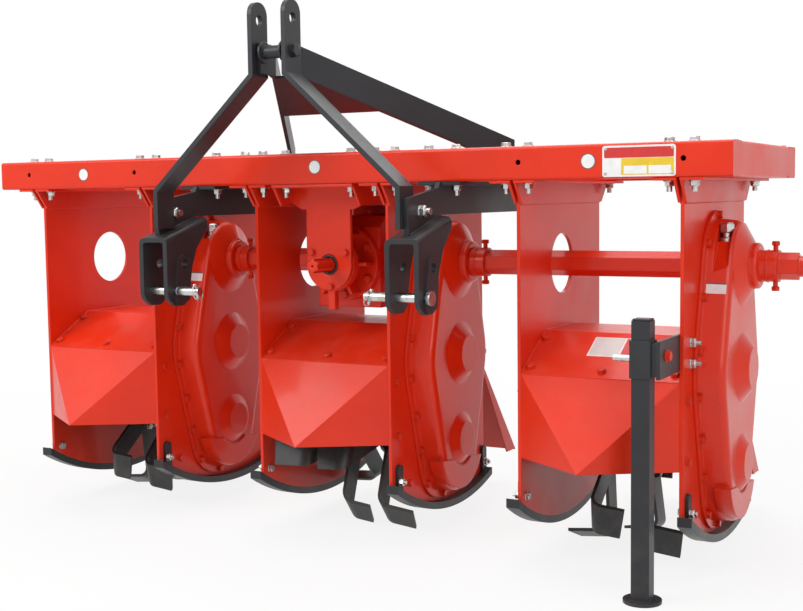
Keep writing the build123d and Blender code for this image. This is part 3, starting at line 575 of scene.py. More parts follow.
class FastenerTree(PieceTree):
    """Geometry Nodes tree that puts a hexagon head with its washer and shank on every point."""

    INPUTS = ("Across Flats", "Head Height", "Washer Radius", "Washer Height", "Shank Radius", "Shank Height")
    CHAMFER = 0.86

    def __init__(self) -> None:
        """Build the tree."""
        super().__init__("hexagon_fasteners", {label: "NodeSocketFloat" for label in self.INPUTS}
                         | {"Seed": "NodeSocketInt"})
        wiring, out, math_of = self.wiring, self.enter, self.wiring.math
        radius = math_of("DIVIDE", out["Across Flats"], math.sqrt(3.0))
        straight = math_of("MULTIPLY", out["Head Height"], self.CHAMFER)
        cone = {"Vertices": 6, "Radius Top": math_of("MULTIPLY", radius, self.CHAMFER), "Radius Bottom": radius,
                "Depth": math_of("MULTIPLY", out["Head Height"], 1.0 - self.CHAMFER)}
        parts = (
            self._drum(6, radius, straight, out["Washer Height"]),
            self._lift(wiring.add("GeometryNodeMeshCone", cone), math_of("ADD", out["Washer Height"], straight)),
            self._drum(20, out["Washer Radius"], out["Washer Height"]),
            self._drum(12, out["Shank Radius"], out["Shank Height"]),
        )
        whole = wiring.add("GeometryNodeJoinGeometry")
        for part in parts:
            wiring.put(whole, 0, part)
        axis = wiring.add("GeometryNodeInputNamedAttribute", {"Name": "axis"}, data_type="FLOAT_VECTOR")
        stand = wiring.add("FunctionNodeAlignRotationToVector", {"Vector": axis.outputs["Attribute"]}, axis="Z")
        turn = wiring.add("FunctionNodeRandomValue", {"Seed": out["Seed"], 2: 0.0, 3: math.tau}, data_type="FLOAT")
        spin = wiring.add("FunctionNodeAxisAngleToRotation", {"Axis": (0.0, 0.0, 1.0), "Angle": turn.outputs[1]})
        placed = wiring.add("FunctionNodeRotateRotation",
                            {"Rotation": stand.outputs[0], "Rotate By": spin.outputs[0]}, rotation_space="LOCAL")
        spread = {"Points": out["Geometry"], "Instance": whole.outputs[0], "Rotation": placed.outputs[0]}
        self.close(wiring.add("GeometryNodeInstanceOnPoints", spread).outputs[0])

    def _lift(self, mesh: bpy.types.Node, height: bpy.types.NodeSocket) -> bpy.types.NodeSocket:
        """Mesh of a node raised by a height.

        Args:
            mesh: Node that makes the mesh.
            height: How far it is raised.

        Returns:
            The raised geometry.
        """
        offset = self.wiring.add("ShaderNodeCombineXYZ", {"Z": height}).outputs[0]
        moved = {"Geometry": mesh.outputs["Mesh"], "Translation": offset}
        return self.wiring.add("GeometryNodeTransform", moved).outputs[0]

    def _drum(self, sides: int, radius: bpy.types.NodeSocket, depth: bpy.types.NodeSocket,
              foot: bpy.types.NodeSocket | None = None) -> bpy.types.NodeSocket:
        """Prism or cylinder that stands at a height.

        Args:
            sides: Number of sides.
            radius: Its radius.
            depth: Its length.
            foot: Height of its lower end, where that isn't zero.

        Returns:
            Its geometry.
        """
        drum = self.wiring.add("GeometryNodeMeshCylinder", {"Vertices": sides, "Radius": radius, "Depth": depth})
        middle = self.wiring.math("MULTIPLY", depth, 0.5)
        return self._lift(drum, middle if foot is None else self.wiring.math("ADD", foot, middle))

    def place(self, name: str, body: str, spots: Sequence[Spot], size: Fastener, finish: Finish,
              shop: PaintShop, seed: int = 7) -> bpy.types.Object:
        """Put one fastener on every spot as one plain mesh.

        Args:
            name: Name of the piece.
            body: The body that it rides on.
            spots: Points and the directions that the heads face, in metres.
            size: Sizes of the fastener.
            finish: Its finish.
            shop: Where the material comes from.
            seed: Seed of the heads' turn.

        Returns:
            The piece.
        """
        mesh = bpy.data.meshes.new(name + "_points")
        mesh.from_pydata([spot[0] for spot in spots], [], [])
        axes = mesh.attributes.new("axis", "FLOAT_VECTOR", "POINT")
        axes.data.foreach_set("vector", [part for spot in spots for part in spot[1]])
        settings = {label: value * MM for label, value in zip(self.INPUTS, astuple(size))}
        return self.run(name, body, mesh, settings | {"Seed": seed}, finish, shop)


class BeadTree(PieceTree):
    """Geometry Nodes tree that lays a rippled weld bead along the edges of a mesh."""

    INPUTS = ("Bead Radius", "Ripple Length")

    def __init__(self) -> None:
        """Build the tree."""
        super().__init__("weld_bead", {label: "NodeSocketFloat" for label in self.INPUTS})
        wiring, out, math_of = self.wiring, self.enter, self.wiring.math
        line = wiring.add("GeometryNodeMeshToCurve", {"Mesh": out["Geometry"]}).outputs[0]
        step = math_of("MULTIPLY", out["Ripple Length"], 0.34)
        fine = wiring.add("GeometryNodeResampleCurve", {"Curve": line, "Length": step}, mode="LENGTH").outputs[0]
        along = wiring.add("GeometryNodeSplineParameter").outputs["Length"]
        phase = math_of("MULTIPLY", math_of("DIVIDE", along, out["Ripple Length"]), math.tau)
        ripple = math_of("MULTIPLY", math_of("SINE", phase), 0.16)
        lumps = wiring.add("ShaderNodeTexNoise", {"Scale": 90.0, "Detail": 2.0}).outputs[0]
        uneven = math_of("MULTIPLY", math_of("SUBTRACT", lumps, 0.5), 0.5)
        size = math_of("MULTIPLY", out["Bead Radius"], math_of("ADD", math_of("ADD", ripple, uneven), 1.0))
        ring = wiring.add("GeometryNodeCurvePrimitiveCircle", {"Resolution": 8, "Radius": 1.0}, mode="RADIUS")
        tube = wiring.add("GeometryNodeCurveToMesh", {"Curve": fine, "Profile Curve": ring.outputs[0],
                                                      "Scale": size, "Fill Caps": True})
        self.close(wiring.add("GeometryNodeSetShadeSmooth", {"Geometry": tube.outputs[0]}).outputs[0])

    def lay(self, name: str, body: str, seams: Sequence[Sequence[Vector]], radius: float, finish: Finish,
            shop: PaintShop) -> bpy.types.Object:
        """Lay beads along open lines as one plain mesh.

        Args:
            name: Name of the piece.
            body: The body that it rides on.
            seams: Lines of points in metres.
            radius: Radius of the bead in millimetres.
            finish: Its finish.
            shop: Where the material comes from.

        Returns:
            The piece.
        """
        points: list[Vector] = []
        edges: list[tuple[int, int]] = []
        for seam in seams:
            start = len(points)
            points.extend(seam)
            edges.extend((start + i, start + i + 1) for i in range(len(seam) - 1))
        mesh = bpy.data.meshes.new(name + "_lines")
        mesh.from_pydata(points, edges, [])
        settings = {"Bead Radius": radius * MM, "Ripple Length": radius * RIPPLE_SHARE * MM}
        return self.run(name, body, mesh, settings, finish, shop)


def bake(carrier: bpy.types.Object) -> bpy.types.Mesh:
    """Plain mesh of an object's evaluated modifiers; the object is removed.

    Args:
        carrier: Object with a live modifier.

    Returns:
        The evaluated mesh.
    """
    graph = bpy.context.evaluated_depsgraph_get()
    mesh = bpy.data.meshes.new_from_object(carrier.evaluated_get(graph), depsgraph=graph)
    if "axis" in mesh.attributes:
        mesh.attributes.remove(mesh.attributes["axis"])
    work = bmesh.new()
    work.from_mesh(mesh)
    flat = [vert for vert in work.verts if all(face.calc_area() < NO_AREA for face in vert.link_faces)]
    bmesh.ops.delete(work, geom=flat, context="VERTS")
    work.to_mesh(mesh)
    work.free()
    carrier.modifiers.clear()
    source = carrier.data
    bpy.data.objects.remove(carrier)
    bpy.data.meshes.remove(source)
    return mesh


def circle(radius: float, count: int, start: float = 0.0) -> list[tuple[float, float]]:
    """Even points of a circle.

    Args:
        radius: Radius of the circle.
        count: Number of points.
        start: Place of the first point, in steps between two points.

    Returns:
        The points' two coordinates from the middle.
    """
    angles = [math.tau * (i + start) / count for i in range(count)]
    return [(radius * math.cos(angle), radius * math.sin(angle)) for angle in angles]


def around(face: Face, centre: Place, radius: float, count: int, start: float = 0.0) -> list[Place]:
    """Even places of a circle in the plane that a direction faces out of.

    Args:
        face: A direction across the machine or along it.
        centre: Middle of the circle.
        radius: Radius of the circle.
        count: Number of places.
        start: Place of the first one, in steps between two places.

    Returns:
        The places in millimetres.
    """
    x, y, z = centre
    if face in (Face.LEFT, Face.RIGHT):
        return [(x, y + u, z + v) for u, v in circle(radius, count, start)]
    return [(x + u, y, z + v) for u, v in circle(radius, count, start)]


class MeshMaker:
    """Small workshop for plain solids, in metres."""

    BEND = math.radians(35.0)
    WIRE_SIDES = 8

    def __init__(self) -> None:
        """Start an empty mesh."""
        self.work = bmesh.new()

    def ring(self, centre: Vector, side: Vector, other: Vector, radius: float,
             sides: int) -> list[bmesh.types.BMVert]:
        """Corners of a ring.

        Args:
            centre: Its centre.
            side: First direction of its plane.
            other: Second direction of its plane.
            radius: Its radius in millimetres.
            sides: Number of corners.

        Returns:
            The corners.
        """
        return [self.work.verts.new(centre + (side * u + other * v) * MM) for u, v in circle(radius, sides)]

    def prism(self, outline: Sequence[Vector], depth: Vector, material: int = 0) -> None:
        """Add a closed prism.

        Args:
            outline: Corners of one end.
            depth: Vector to the other end.
            material: Material number of its faces.
        """
        near = [self.work.verts.new(point) for point in outline]
        far = [self.work.verts.new(point + depth) for point in outline]
        self.skin([near, far], material)

    def drum(self, base: Vector, axis: Vector, rings: Sequence[tuple[float, float]], sides: int) -> None:
        """Add a turned solid with closed ends.

        Args:
            base: Point on its axis.
            axis: Unit vector of its axis.
            rings: Distance along the axis and radius of each ring, in millimetres.
            sides: Number of sides.
        """
        side = axis.orthogonal().normalized()
        self.skin([self.ring(base + axis * along * MM, side, axis.cross(side), radius, sides)
                   for along, radius in rings])

    def wire(self, path: Sequence[Vector], radius: float, closed: bool = False) -> None:
        """Add a round wire along a path.

        Args:
            path: Points of its centre line in metres.
            radius: Radius in millimetres.
            closed: Whether the ends meet.
        """
        loops = []
        side = None
        for i, point in enumerate(path):
            before = path[i - 1] if closed or i > 0 else point
            after = path[(i + 1) % len(path)] if closed or i < len(path) - 1 else point
            ahead = (after - before).normalized()
            side = ahead.orthogonal() if side is None else side - ahead * side.dot(ahead)
            side.normalize()
            loops.append(self.ring(point, side, ahead.cross(side), radius, self.WIRE_SIDES))
        self.skin(loops, closed=closed)

    def skin(self, loops: list[list[bmesh.types.BMVert]], material: int = 0, closed: bool = False) -> None:
        """Join loops of corners to one closed skin.

        Args:
            loops: The loops, each with the same number of corners.
            material: Material number of the faces.
            closed: Whether the last loop meets the first.
        """
        faces = []
        for one, two in zip(loops, loops[1:] + (loops[:1] if closed else [])):
            for i, corner in enumerate(one):
                j = (i + 1) % len(one)
                faces.append(self.work.faces.new((corner, one[j], two[j], two[i])))
        if not closed:
            faces += [self.work.faces.new(loops[0][::-1]), self.work.faces.new(loops[-1])]
        for face in faces:
            face.material_index = material

    def finish(self, name: str, bevel: float = 0.0, smooth: bool = False) -> bpy.types.Mesh:
        """Close the mesh with outward faces.

        Args:
            name: Name of the mesh.
            bevel: Width of the bevel on sharp edges, in millimetres.
            smooth: Whether gently bent faces shade as one.

        Returns:
            The mesh.
        """
        bmesh.ops.recalc_face_normals(self.work, faces=self.work.faces)
        if bevel > 0.0:
            sharp = [edge for edge in self.work.edges if edge.calc_face_angle(0.0) > self.BEND]
            bmesh.ops.bevel(self.work, geom=sharp, offset=bevel * MM, segments=2, affect="EDGES")
        for face in self.work.faces:
            face.smooth = smooth
        for edge in self.work.edges:
            edge.smooth = edge.calc_face_angle(0.0) < self.BEND
        mesh = bpy.data.meshes.new(name)
        self.work.to_mesh(mesh)
        self.work.free()
        return mesh


@dataclass
class Yard:
    """What every sub-assembly needs to build its pieces. Places are in the maker's millimetres."""

    datum: Datum
    nodes: dict[str, bpy.types.Object]
    shop: PaintShop
    fasteners: FastenerTree
    beads: BeadTree

    def spots(self, face: Face, *places: Place) -> list[Spot]:
        """Spots at places that all face one way."""
        return [(self.datum.at(*place), face.vector()) for place in places]

    def line(self, *places: Place) -> list[Vector]:
        """Line through places."""
        return [self.datum.at(*place) for place in places]

    def bolt(self, name: str, body: str, spots: Sequence[Spot], size: Fastener, finish: Finish,
             seed: int = 7) -> None:
        """One fastener on every spot as one piece."""
        self.fasteners.place(name, body, spots, size, finish, self.shop, seed)

    def weld(self, name: str, seams: Sequence[Sequence[Vector]], radius: float, finish: Finish) -> None:
        """Weld beads on the frame as one piece."""
        self.beads.lay(name, "frame", seams, radius, finish, self.shop)

    def add(self, name: str, body: str, maker: MeshMaker, finish: Finish, bevel: float = 0.0,
            smooth: bool = True) -> None:
        """Add a maker's mesh as a piece.

        Args:
            name: Name of the piece.
            body: The body that it rides on.
            maker: The mesh so far.
            finish: Its finish.
            bevel: Width of the bevel on sharp edges, in millimetres.
            smooth: Whether gently bent faces shade as one.
        """
        mesh = maker.finish(name, bevel, smooth)
        mesh.materials.append(self.shop.material(finish))
        new_piece(name, mesh, body)

    def coat_nodes(self, names: Sequence[str], finish: Finish) -> None:
        """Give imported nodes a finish."""
        for name in names:
            self.shop.coat(self.nodes[name], finish)


@dataclass(frozen=True)
class Panel:
    """Coloured area of a plate, from its middle in millimetres."""

    left: float
    low: float
    right: float
    high: float
    corner: float
    film: Film
    steps: int = 8

    def outline(self) -> list[tuple[float, float]]:
        """Corners of the area with each corner rounded in steps."""
        points: list[tuple[float, float]] = []
        across = (self.right - self.corner, self.left + self.corner, self.left + self.corner, self.right - self.corner)
        up = (self.high - self.corner, self.high - self.corner, self.low + self.corner, self.low + self.corner)
        for quarter, (x, y) in enumerate(zip(across, up)):
            for i in range(self.steps + 1):
                angle = math.tau * 0.25 * (quarter + i / self.steps)
                point = (x + self.corner * math.cos(angle), y + self.corner * math.sin(angle))
                if all(math.dist(point, other) > POINT_GAP for other in points):
                    points.append(point)
        return points


@dataclass(frozen=True)
class Sign:
    """Blank plate or sticker with coloured fields and no words."""

    name: str
    centre: Place
    right: Place
    up: Place
    edge: Panel
    fields: tuple[Panel, ...] = ()
    sheet: float = 0.8
    sunk: float = 0.3
    lap: float = 0.1
    print_height: float = 0.25

    def build(self, yard: Yard) -> None:
        """Make the plate as one piece on the frame.

        Args:
            yard: Where the piece is built.
        """
        right, up = Vector(self.right).normalized(), Vector(self.up).normalized()
        out = right.cross(up).normalized()
        place = yard.datum.at(*self.centre)
        maker = MeshMaker()
        panels = (self.edge, *self.fields)
        for number, panel in enumerate(panels):
            start, depth = self.sheet - self.lap, self.lap + self.print_height * number ** 0.5
            if number == 0:
                start, depth = -self.sunk, self.sheet + self.sunk
            points = [place + (right * u + up * v + out * start) * MM for u, v in panel.outline()]
            maker.prism(points, out * depth * MM, number)
        mesh = maker.finish(self.name)
        for panel in panels:
            mesh.materials.append(yard.shop.material(panel.film))
        new_piece(self.name, mesh, "frame")


@dataclass
class BoxFrame:
    """Front and rear beam with the end members, their bolts, welds and blank signs."""

    yard: Yard
    pitch: float = 715.0
    half: float = 188.0
    bolt_offset: float = 27.0
    rail_x: float = 340.0
    rail_offset: float = 35.0
    hanger_x: float = 94.0
    plate_sheet: float = 6.0
    rail_sheet: float = 8.0
    weld_inset: float = 6.0
    weld_reach: float = 8.0
    sticker_r: float = 17.0
    sticker_rim: float = 2.0
    stickers: tuple[tuple[str, float, float], ...] = (
        # name, place across, height
        ("left", -718.7, 37.0),
        ("middle", 13.6, 41.0),
        ("right", 707.9, 38.0),
    )
    plate_middle: tuple[float, float] = (820.5, 36.3)
    rivet_reach: tuple[float, float] = (73.0, 26.5)

    def bolt_rows(self) -> list[tuple[float, float]]:
        """Places across the machine and the thickness under the beam at each."""
        rows = [(centre + side * self.half + offset, self.plate_sheet)
                for centre in (-self.pitch, 0.0, self.pitch) for side in (-1, 1)
                for offset in (-self.bolt_offset, self.bolt_offset)]
        for side in (-1, 1):
            rows.append((side * self.hanger_x, self.rail_sheet))
            rows += [(side * self.rail_x + offset, self.rail_sheet)
                     for offset in (-self.rail_offset, self.rail_offset)]
        return rows

    def build_bolts(self) -> None:
        """Bolt heads on top of the beams and nuts with their bolt ends below."""
        yard, datum = self.yard, self.yard.datum
        lines = (datum.beam / 2, datum.depth - datum.beam / 2)
        tops = [(x, y, datum.beam) for y in lines for x, _ in self.bolt_rows()]
        lows = [(x, y, -sheet) for y in lines for x, sheet in self.bolt_rows()]
        yard.bolt("beam_bolts", "frame", yard.spots(Face.UP, *tops), M12_BOLT, ZINC_PLATING)
        yard.bolt("beam_nuts", "frame", yard.spots(Face.DOWN, *lows), M12_NUT, ZINC_PLATING, 11)

    def build_welds(self) -> None:
        """Beads at the corners of the frame."""
        beam, deep, half = self.yard.datum.beam, self.yard.datum.depth, self.yard.datum.half
        low, high = self.weld_inset, beam - self.weld_inset
        seams = []
        for side in (-1, 1):
            inner = side * (half - beam)
            near, far = inner + side * self.weld_reach, inner + side * (beam - self.weld_reach)
            for y in (beam, deep - beam):
                seams.append(self.yard.line((inner, y, low), (inner, y, high)))
                seams.append(self.yard.line((near, y, beam), (far, y, beam)))
        self.yard.weld("frame_welds", seams, 3.0, RED_ENAMEL)

    def build_signs(self) -> None:
        """Three round stickers and the rating plate, all without words."""
        r, inner = self.sticker_r, self.sticker_r - self.sticker_rim
        across, up = tuple(Face.RIGHT.value), tuple(Face.UP.value)
        for name, x, z in self.stickers:
            Sign(f"round_sticker_{name}", (x, 0.0, z), across, up, Panel(-r, -r, r, r, r, LABEL_GREY),
                 (Panel(-inner, -inner, inner, inner, inner, LABEL_WHITE),), 0.4).build(self.yard)
        x, z = self.plate_middle
        fields = (
            # left, low, right, high, corner, film
            Panel(-76, 7, 76, 29, 3, LABEL_RED),
            Panel(-38, -29, 76, 6, 1.5, LABEL_YELLOW),
            Panel(-32, -27, 18, -10, 0.8, LABEL_WHITE),
            Panel(22, -27, 70, -10, 0.8, LABEL_WHITE),
        )
        Sign("rating_plate", (x, 0.0, z), across, up, Panel(-80, -33, 80, 33, 6, LABEL_WHITE), fields,
             1.2).build(self.yard)
        du, dv = self.rivet_reach
        corners = [(x + sx * du, -1.2, z + sz * dv) for sx in (-1, 1) for sz in (-1, 1)]
        self.yard.bolt("rating_plate_rivets", "frame", self.yard.spots(Face.FRONT, *corners), RIVET, ZINC_PLATING)

    def build(self) -> None:
        """Every piece of the frame."""
        self.build_bolts()
        self.build_welds()
        self.build_signs()

    def dress(self) -> None:
        """Red enamel on the beams."""
        self.yard.coat_nodes(("front_beam", "rear_beam", "end_member_l", "end_member_r"), RED_ENAMEL)


@dataclass
class RowUnit:
    """One row: side plates, gear case, hood, rotor, flap, bearings and skids."""

    yard: Yard
    name: str
    centre: float
    first_blades: tuple[float, float]
    half: float = 188.0
    plate: float = 8.0
    axis_y: float = 296.0
    shaft_z: float = -199.0
    rotor_z: float = -640.0
    case_flange: float = 8.0
    case_depth: float = 66.0
    case_rim: float = 18.0
    case_draft: float = 7.0
    case_circles: tuple[tuple[float, float], ...] = ((-199.0, 126.0), (-440.0, 187.0), (-692.0, 120.0))
    arc_step: float = 6.0
    bolt_inset: float = 10.0
    rim_steps: tuple[float, ...] = (0.0, 124.0, 247.0, 369.0, 474.0, 574.0, 669.0, 767.0, 863.0)
    plate_rows: tuple[tuple[float, float], ...] = ((71.0, -482.0), (73.0, -615.0), (128.0, -741.0))
    tab_places: tuple[tuple[float, float], ...] = ((70.0, -727.0), (561.0, -770.0))
    plug_place: Place = (40.0, 247.0, -142.0)
    plug_bevel: float = 0.6
    label_place: tuple[float, float] = (26.0, -238.0)
    sleeve_end: float = 146.0
    sleeve_r: float = 36.0
    set_bolt_inset: float = 9.0
    clip_ring_inset: float = 16.0
    carrier_sheet: float = 10.0
    carrier_bolt_r: float = 54.0
    flange_x: float = 53.0
    flange_blades: int = 6
    blade_step: float = 60.0
    blade_bolt: tuple[float, float] = (56.0, 13.0)
    hood_low: tuple[float, float] = (42.0, -440.0)
    hood_high: tuple[float, float] = (200.0, -356.0)
    hood_bolts: tuple[tuple[float, float], ...] = (
        # across, share of the slope
        (-168.0, 0.15),
        (2.0, 0.14),
        (168.0, 0.15),
        (-172.0, 0.80),
        (172.0, 0.80),
    )
    hood_skin: float = 1.9
    hood_roof: float = 185.0
    hood_label: tuple[float, float, float] = (12.0, 0.67, 2.3)
    angle_drop: float = 53.0
    angle_inset: float = 4.0
    bead_gap: float = 1.0
    hinge: tuple[float, float] = (568.0, -462.0)
    hinge_gap: float = 0.4
    hinge_pin: float = 5.0
    plate_ends: tuple[float, float] = (42.0, 571.0)

    @property
    def outer(self) -> float:
        """Outer face of the right side plate."""
        return self.centre + self.half + self.plate / 2

    @property
    def left(self) -> float:
        """Outer face of the left side plate."""
        return self.centre - self.half - self.plate / 2

    def rim_line(self, inset: float) -> list[tuple[float, float]]:
        """Points of the gear case's outline, from the top down its front side.

        Args:
            inset: Distance inside the outline.

        Returns:
            Depth from the shaft line and height of each point.
        """
        (z0, r0), (z1, r1), (z2, r2) = self.case_circles
        lean1 = math.degrees(math.asin((r1 - r0) / (z0 - z1)))
        lean2 = math.degrees(math.asin((r2 - r1) / (z1 - z2)))
        points = []
        for z, radius, start, stop in ((z0, r0, 90.0, lean1), (z1, r1, lean1, lean2), (z2, r2, lean2, -90.0)):
            reach = radius - inset
            count = max(int((start - stop) / self.arc_step), 1)
            for i in range(count + 1):
                angle = math.radians(start + (stop - start) * i / count)
                points.append((reach * math.cos(angle), z + reach * math.sin(angle)))
        return points

    def rim_spots(self) -> list[Spot]:
        """Spots at the measured distances along the rim of the gear case, both sides."""
        line = self.rim_line(self.bolt_inset)
        x = self.outer + self.case_flange
        spots: list[Spot] = []
        done = 0.0
        wanted = list(self.rim_steps)
        for (y0, z0), (y1, z1) in zip(line, line[1:]):
            length = math.dist((y0, z0), (y1, z1))
            while wanted and length > 0.0 and wanted[0] <= done + length:
                share = (wanted.pop(0) - done) / length
                y, z = y0 + (y1 - y0) * share, z0 + (z1 - z0) * share
                sides = (-1, 1) if y > self.plate / 2 else (1,)
                spots += self.yard.spots(Face.RIGHT, *((x, self.axis_y + side * y, z) for side in sides))
            done += length
        return spots

    def on_hood(self, across: float, share: float) -> tuple[Place, tuple[float, float]]:
        """Place on the sloped front sheet of the hood.

        Args:
            across: Distance from the row's middle.
            share: Share of the slope, from its front edge.

        Returns:
            The place, and the run and rise of the slope.
        """
        (y0, z0), (y1, z1) = self.hood_low, self.hood_high
        run, rise = y1 - y0, z1 - z0
        return (self.centre + across, y0 + run * share, z0 + rise * share), (run, rise)

    def hood_spots(self) -> list[Spot]:
        """Spots of the bolts on the sloped front sheet of the hood."""
        spots: list[Spot] = []
        for across, share in self.hood_bolts:
            place, (run, rise) = self.on_hood(across, share)
            out = Vector((0.0, -rise, run)).normalized()
            spots.append((self.yard.datum.at(*place) + out * self.hood_skin * MM, out))
        return spots

    def blade_spots(self) -> tuple[list[Spot], list[Spot]]:
        """Heads and nuts of the two bolts that hold each blade to its flange."""
        heads: list[Spot] = []
        nuts: list[Spot] = []
        radius, reach = self.blade_bolt
        for sign, first in zip((-1, 1), self.first_blades):
            for k in range(self.flange_blades):
                side = 1 if k % 2 == 0 else -1
                angle = math.radians(first + self.blade_step * k)
                for across in (-reach, reach):
                    y = radius * math.sin(angle) + across * math.cos(angle)
                    z = -radius * math.cos(angle) + across * math.sin(angle)
                    flange = self.centre + sign * self.flange_x
                    for spots, way, lift in ((heads, side, 1.5 * self.plate), (nuts, -side, self.plate / 2)):
                        place = self.yard.datum.at(flange + way * lift, self.axis_y + y, self.rotor_z + z)
                        spots.append((place, Vector((way, 0.0, 0.0))))
        return heads, nuts

    def tab_spots(self) -> tuple[list[Spot], list[Spot]]:
        """Nuts on the skids' tabs and heads on the inner faces of the side plates."""
        nuts: list[Spot] = []
        heads: list[Spot] = []
        for side, out, back in ((-1, Face.LEFT, Face.RIGHT), (1, Face.RIGHT, Face.LEFT)):
            for spots, face, lift in ((nuts, out, 1.5 * self.plate), (heads, back, -self.plate / 2)):
                x = self.centre + side * (self.half + lift)
                spots += self.yard.spots(face, *((x, *place) for place in self.tab_places))
        return nuts, heads

    def build_bolts(self) -> None:
        """Bolts of the case, the hood, the plates, the blades, the bearings and the skids."""
        yard, rotor = self.yard, f"rotor_{self.name}"
        plates = yard.spots(Face.RIGHT, *((self.outer, *row) for row in self.plate_rows))
        plates += yard.spots(Face.LEFT, *((self.left, *row) for row in self.plate_rows))
        heads, nuts = self.blade_spots()
        tab_nuts, tab_heads = self.tab_spots()
        middle = (self.left - self.carrier_sheet, self.axis_y, self.rotor_z)
        carrier = yard.spots(Face.LEFT, *around(Face.LEFT, middle, self.carrier_bolt_r, 6, 0.5))
        table = (
            # piece, body, spots, size, finish, seed
            ("case_bolts", "frame", self.rim_spots(), RIM_BOLT, BOLT_ENAMEL, 3),
            ("hood_bolts", "frame", self.hood_spots(), M10_BOLT, BOLT_ENAMEL, 5),
            ("plate_bolts", "frame", plates, RIM_BOLT, BOLT_ENAMEL, 9),
            ("blade_bolts", rotor, heads, M10_BOLT, BLADE_ENAMEL, 13),
            ("blade_nuts", rotor, nuts, M10_BOLT, ZINC_PLATING, 17),
            ("bearing_bolts", "frame", carrier, M8_BOLT, ZINC_PLATING, 19),
            ("skid_nuts", "frame", tab_nuts, M10_NUT, ZINC_PLATING, 23),
            ("skid_bolts", "frame", tab_heads, M10_BOLT, ZINC_PLATING, 29),
        )
        for piece, body, spots, size, finish, seed in table:
            yard.bolt(f"{piece}_{self.name}", body, spots, size, finish, seed)

    def build_plug(self) -> None:
        """Oil filler plug that stands in the pocket of the gear case."""
        maker = MeshMaker()
        dx, y, z = self.plug_place
        base = self.yard.datum.at(self.outer + dx, y, z)
        table = (
            # sides, rings of distance along the axis and radius
            (24, ((-2, 17), (7, 17), (9, 15))),
            (20, ((8, 11), (20, 11))),
            (6, ((19, 16), (20.5, 17.3), (38, 17.3), (40, 15.5))),
            (20, ((39.5, 13), (42, 12))),
        )
        for sides, rings in table:
            maker.drum(base, Face.UP.vector(), rings, sides)
        self.yard.add(f"filler_plug_{self.name}", "frame", maker, ZINC_PLATING, self.plug_bevel)

    def build_set_bolts(self) -> None:
        """Two set bolts that lock the drive shaft's sleeve, opposite each other."""
        maker = MeshMaker()
        middle = (self.outer + self.sleeve_end - self.set_bolt_inset, self.axis_y, self.shaft_z)
        table = (
            # sides, rings of height over the sleeve and radius
            (14, ((-4, 5.5), (12, 5.5))),
            (6, ((10, 8.5), (11.5, 9.8), (18, 9.8), (20, 8.2))),
        )
        for way in (Face.UP, Face.DOWN):
            for sides, rings in table:
                raised = [(self.sleeve_r + height, radius) for height, radius in rings]
                maker.drum(self.yard.datum.at(*middle), way.vector(), raised, sides)
        clip = (middle[0] - self.clip_ring_inset, *middle[1:])
        maker.wire(self.yard.line(*around(Face.RIGHT, clip, self.sleeve_r, 32)), 1.6, True)
        self.yard.add(f"set_bolts_{self.name}", "drive", maker, BOLT_ENAMEL)

    def build_case_label(self) -> None:
        """Blank label on the front wall of the gear case."""
        line = self.rim_line(0.0)
        label_x, label_z = self.label_place
        (y0, z0), (y1, z1) = next((a, b) for a, b in zip(line, line[1:]) if a[1] > label_z >= b[1])
        down = Vector((0.0, y0 - y1, z1 - z0)).normalized()
        out = Vector((0.0, down.z, -down.y))
        share = (label_z - z0) / (z1 - z0)
        deep = self.case_depth - self.case_flange
        inset = self.case_rim + self.case_draft * label_x / deep
        place = (self.outer + self.case_flange + label_x,
                 self.axis_y - (y0 + (y1 - y0) * share) - out.y * inset, label_z - out.z * inset)
        right = Vector((deep, -out.y * self.case_draft, -out.z * self.case_draft)).normalized()
        Sign(f"case_label_{self.name}", place, tuple(right), tuple(-down), Panel(-22, -12, 22, 12, 1, LABEL_WHITE),
             (Panel(-22, 9, 22, 12, 0.5, LABEL_GREY),), 0.4).build(self.yard)

    def build_hood_label(self) -> None:
        """Blank label with a plain and a red field on the hood."""
        across, share, lift = self.hood_label
        (x, y, z), slope = self.on_hood(across, share)
        edge = Panel(-65, -38, 65, 38, 2, LABEL_WHITE)
        fields = (Panel(-62, -35, 8, 35, 1, LABEL_PLAIN), Panel(12, -35, 62, 35, 1, LABEL_RED))
        Sign("hood_label", (x, y, z + lift), tuple(Face.RIGHT.value), (0.0, *slope), edge, fields,
             0.4).build(self.yard)

    def build_welds(self) -> None:
        """Beads under the hanger angles and where the hood meets the plates."""
        (front, rear), (y0, z0), (y1, z1) = self.plate_ends, self.hood_low, self.hood_high
        seams = []
        for side in (-1, 1):
            plate = self.centre + side * self.half
            for way in (-1, 1):
                x = plate + way * (self.plate / 2 + self.bead_gap)
                seams.append(self.yard.line((x, front + self.angle_inset, -self.angle_drop),
                                            (x, rear - self.angle_inset, -self.angle_drop)))
            inner = plate - side * self.plate / 2
            seams.append(self.yard.line((inner, y0 + 3, z0 + 3.5), (inner, y1 - 2, z1 + 2.5),
                                        (inner, y1 + self.hood_roof, z1 + 2.5)))
        self.yard.weld(f"unit_welds_{self.name}", seams, 2.4, RED_ENAMEL)

    def build_hinge_clips(self) -> None:
        """Washers and split pins on the ends of the flap's rod."""
        maker = MeshMaker()
        for side in (-1, 1):
            x = self.centre + side * (self.half + self.plate / 2 + self.hinge_gap)
            base, way = self.yard.datum.at(x, *self.hinge), Vector((side, 0.0, 0.0))
            maker.drum(base, way, ((0.0, 15.0), (2.4, 15.0)), 24)
            pin = base + way * self.hinge_pin * MM
            maker.wire([pin + Vector((0.0, 0.0, z)) * MM for z in (-15, -4, 4, 14)], 1.6)
            maker.wire([pin + Vector((0.0, y, 17.0 + z)) * MM for z, y in circle(5.0, 12)], 1.2, True)
        self.yard.add(f"hinge_clips_{self.name}", f"flap_{self.name}", maker, ZINC_PLATING)

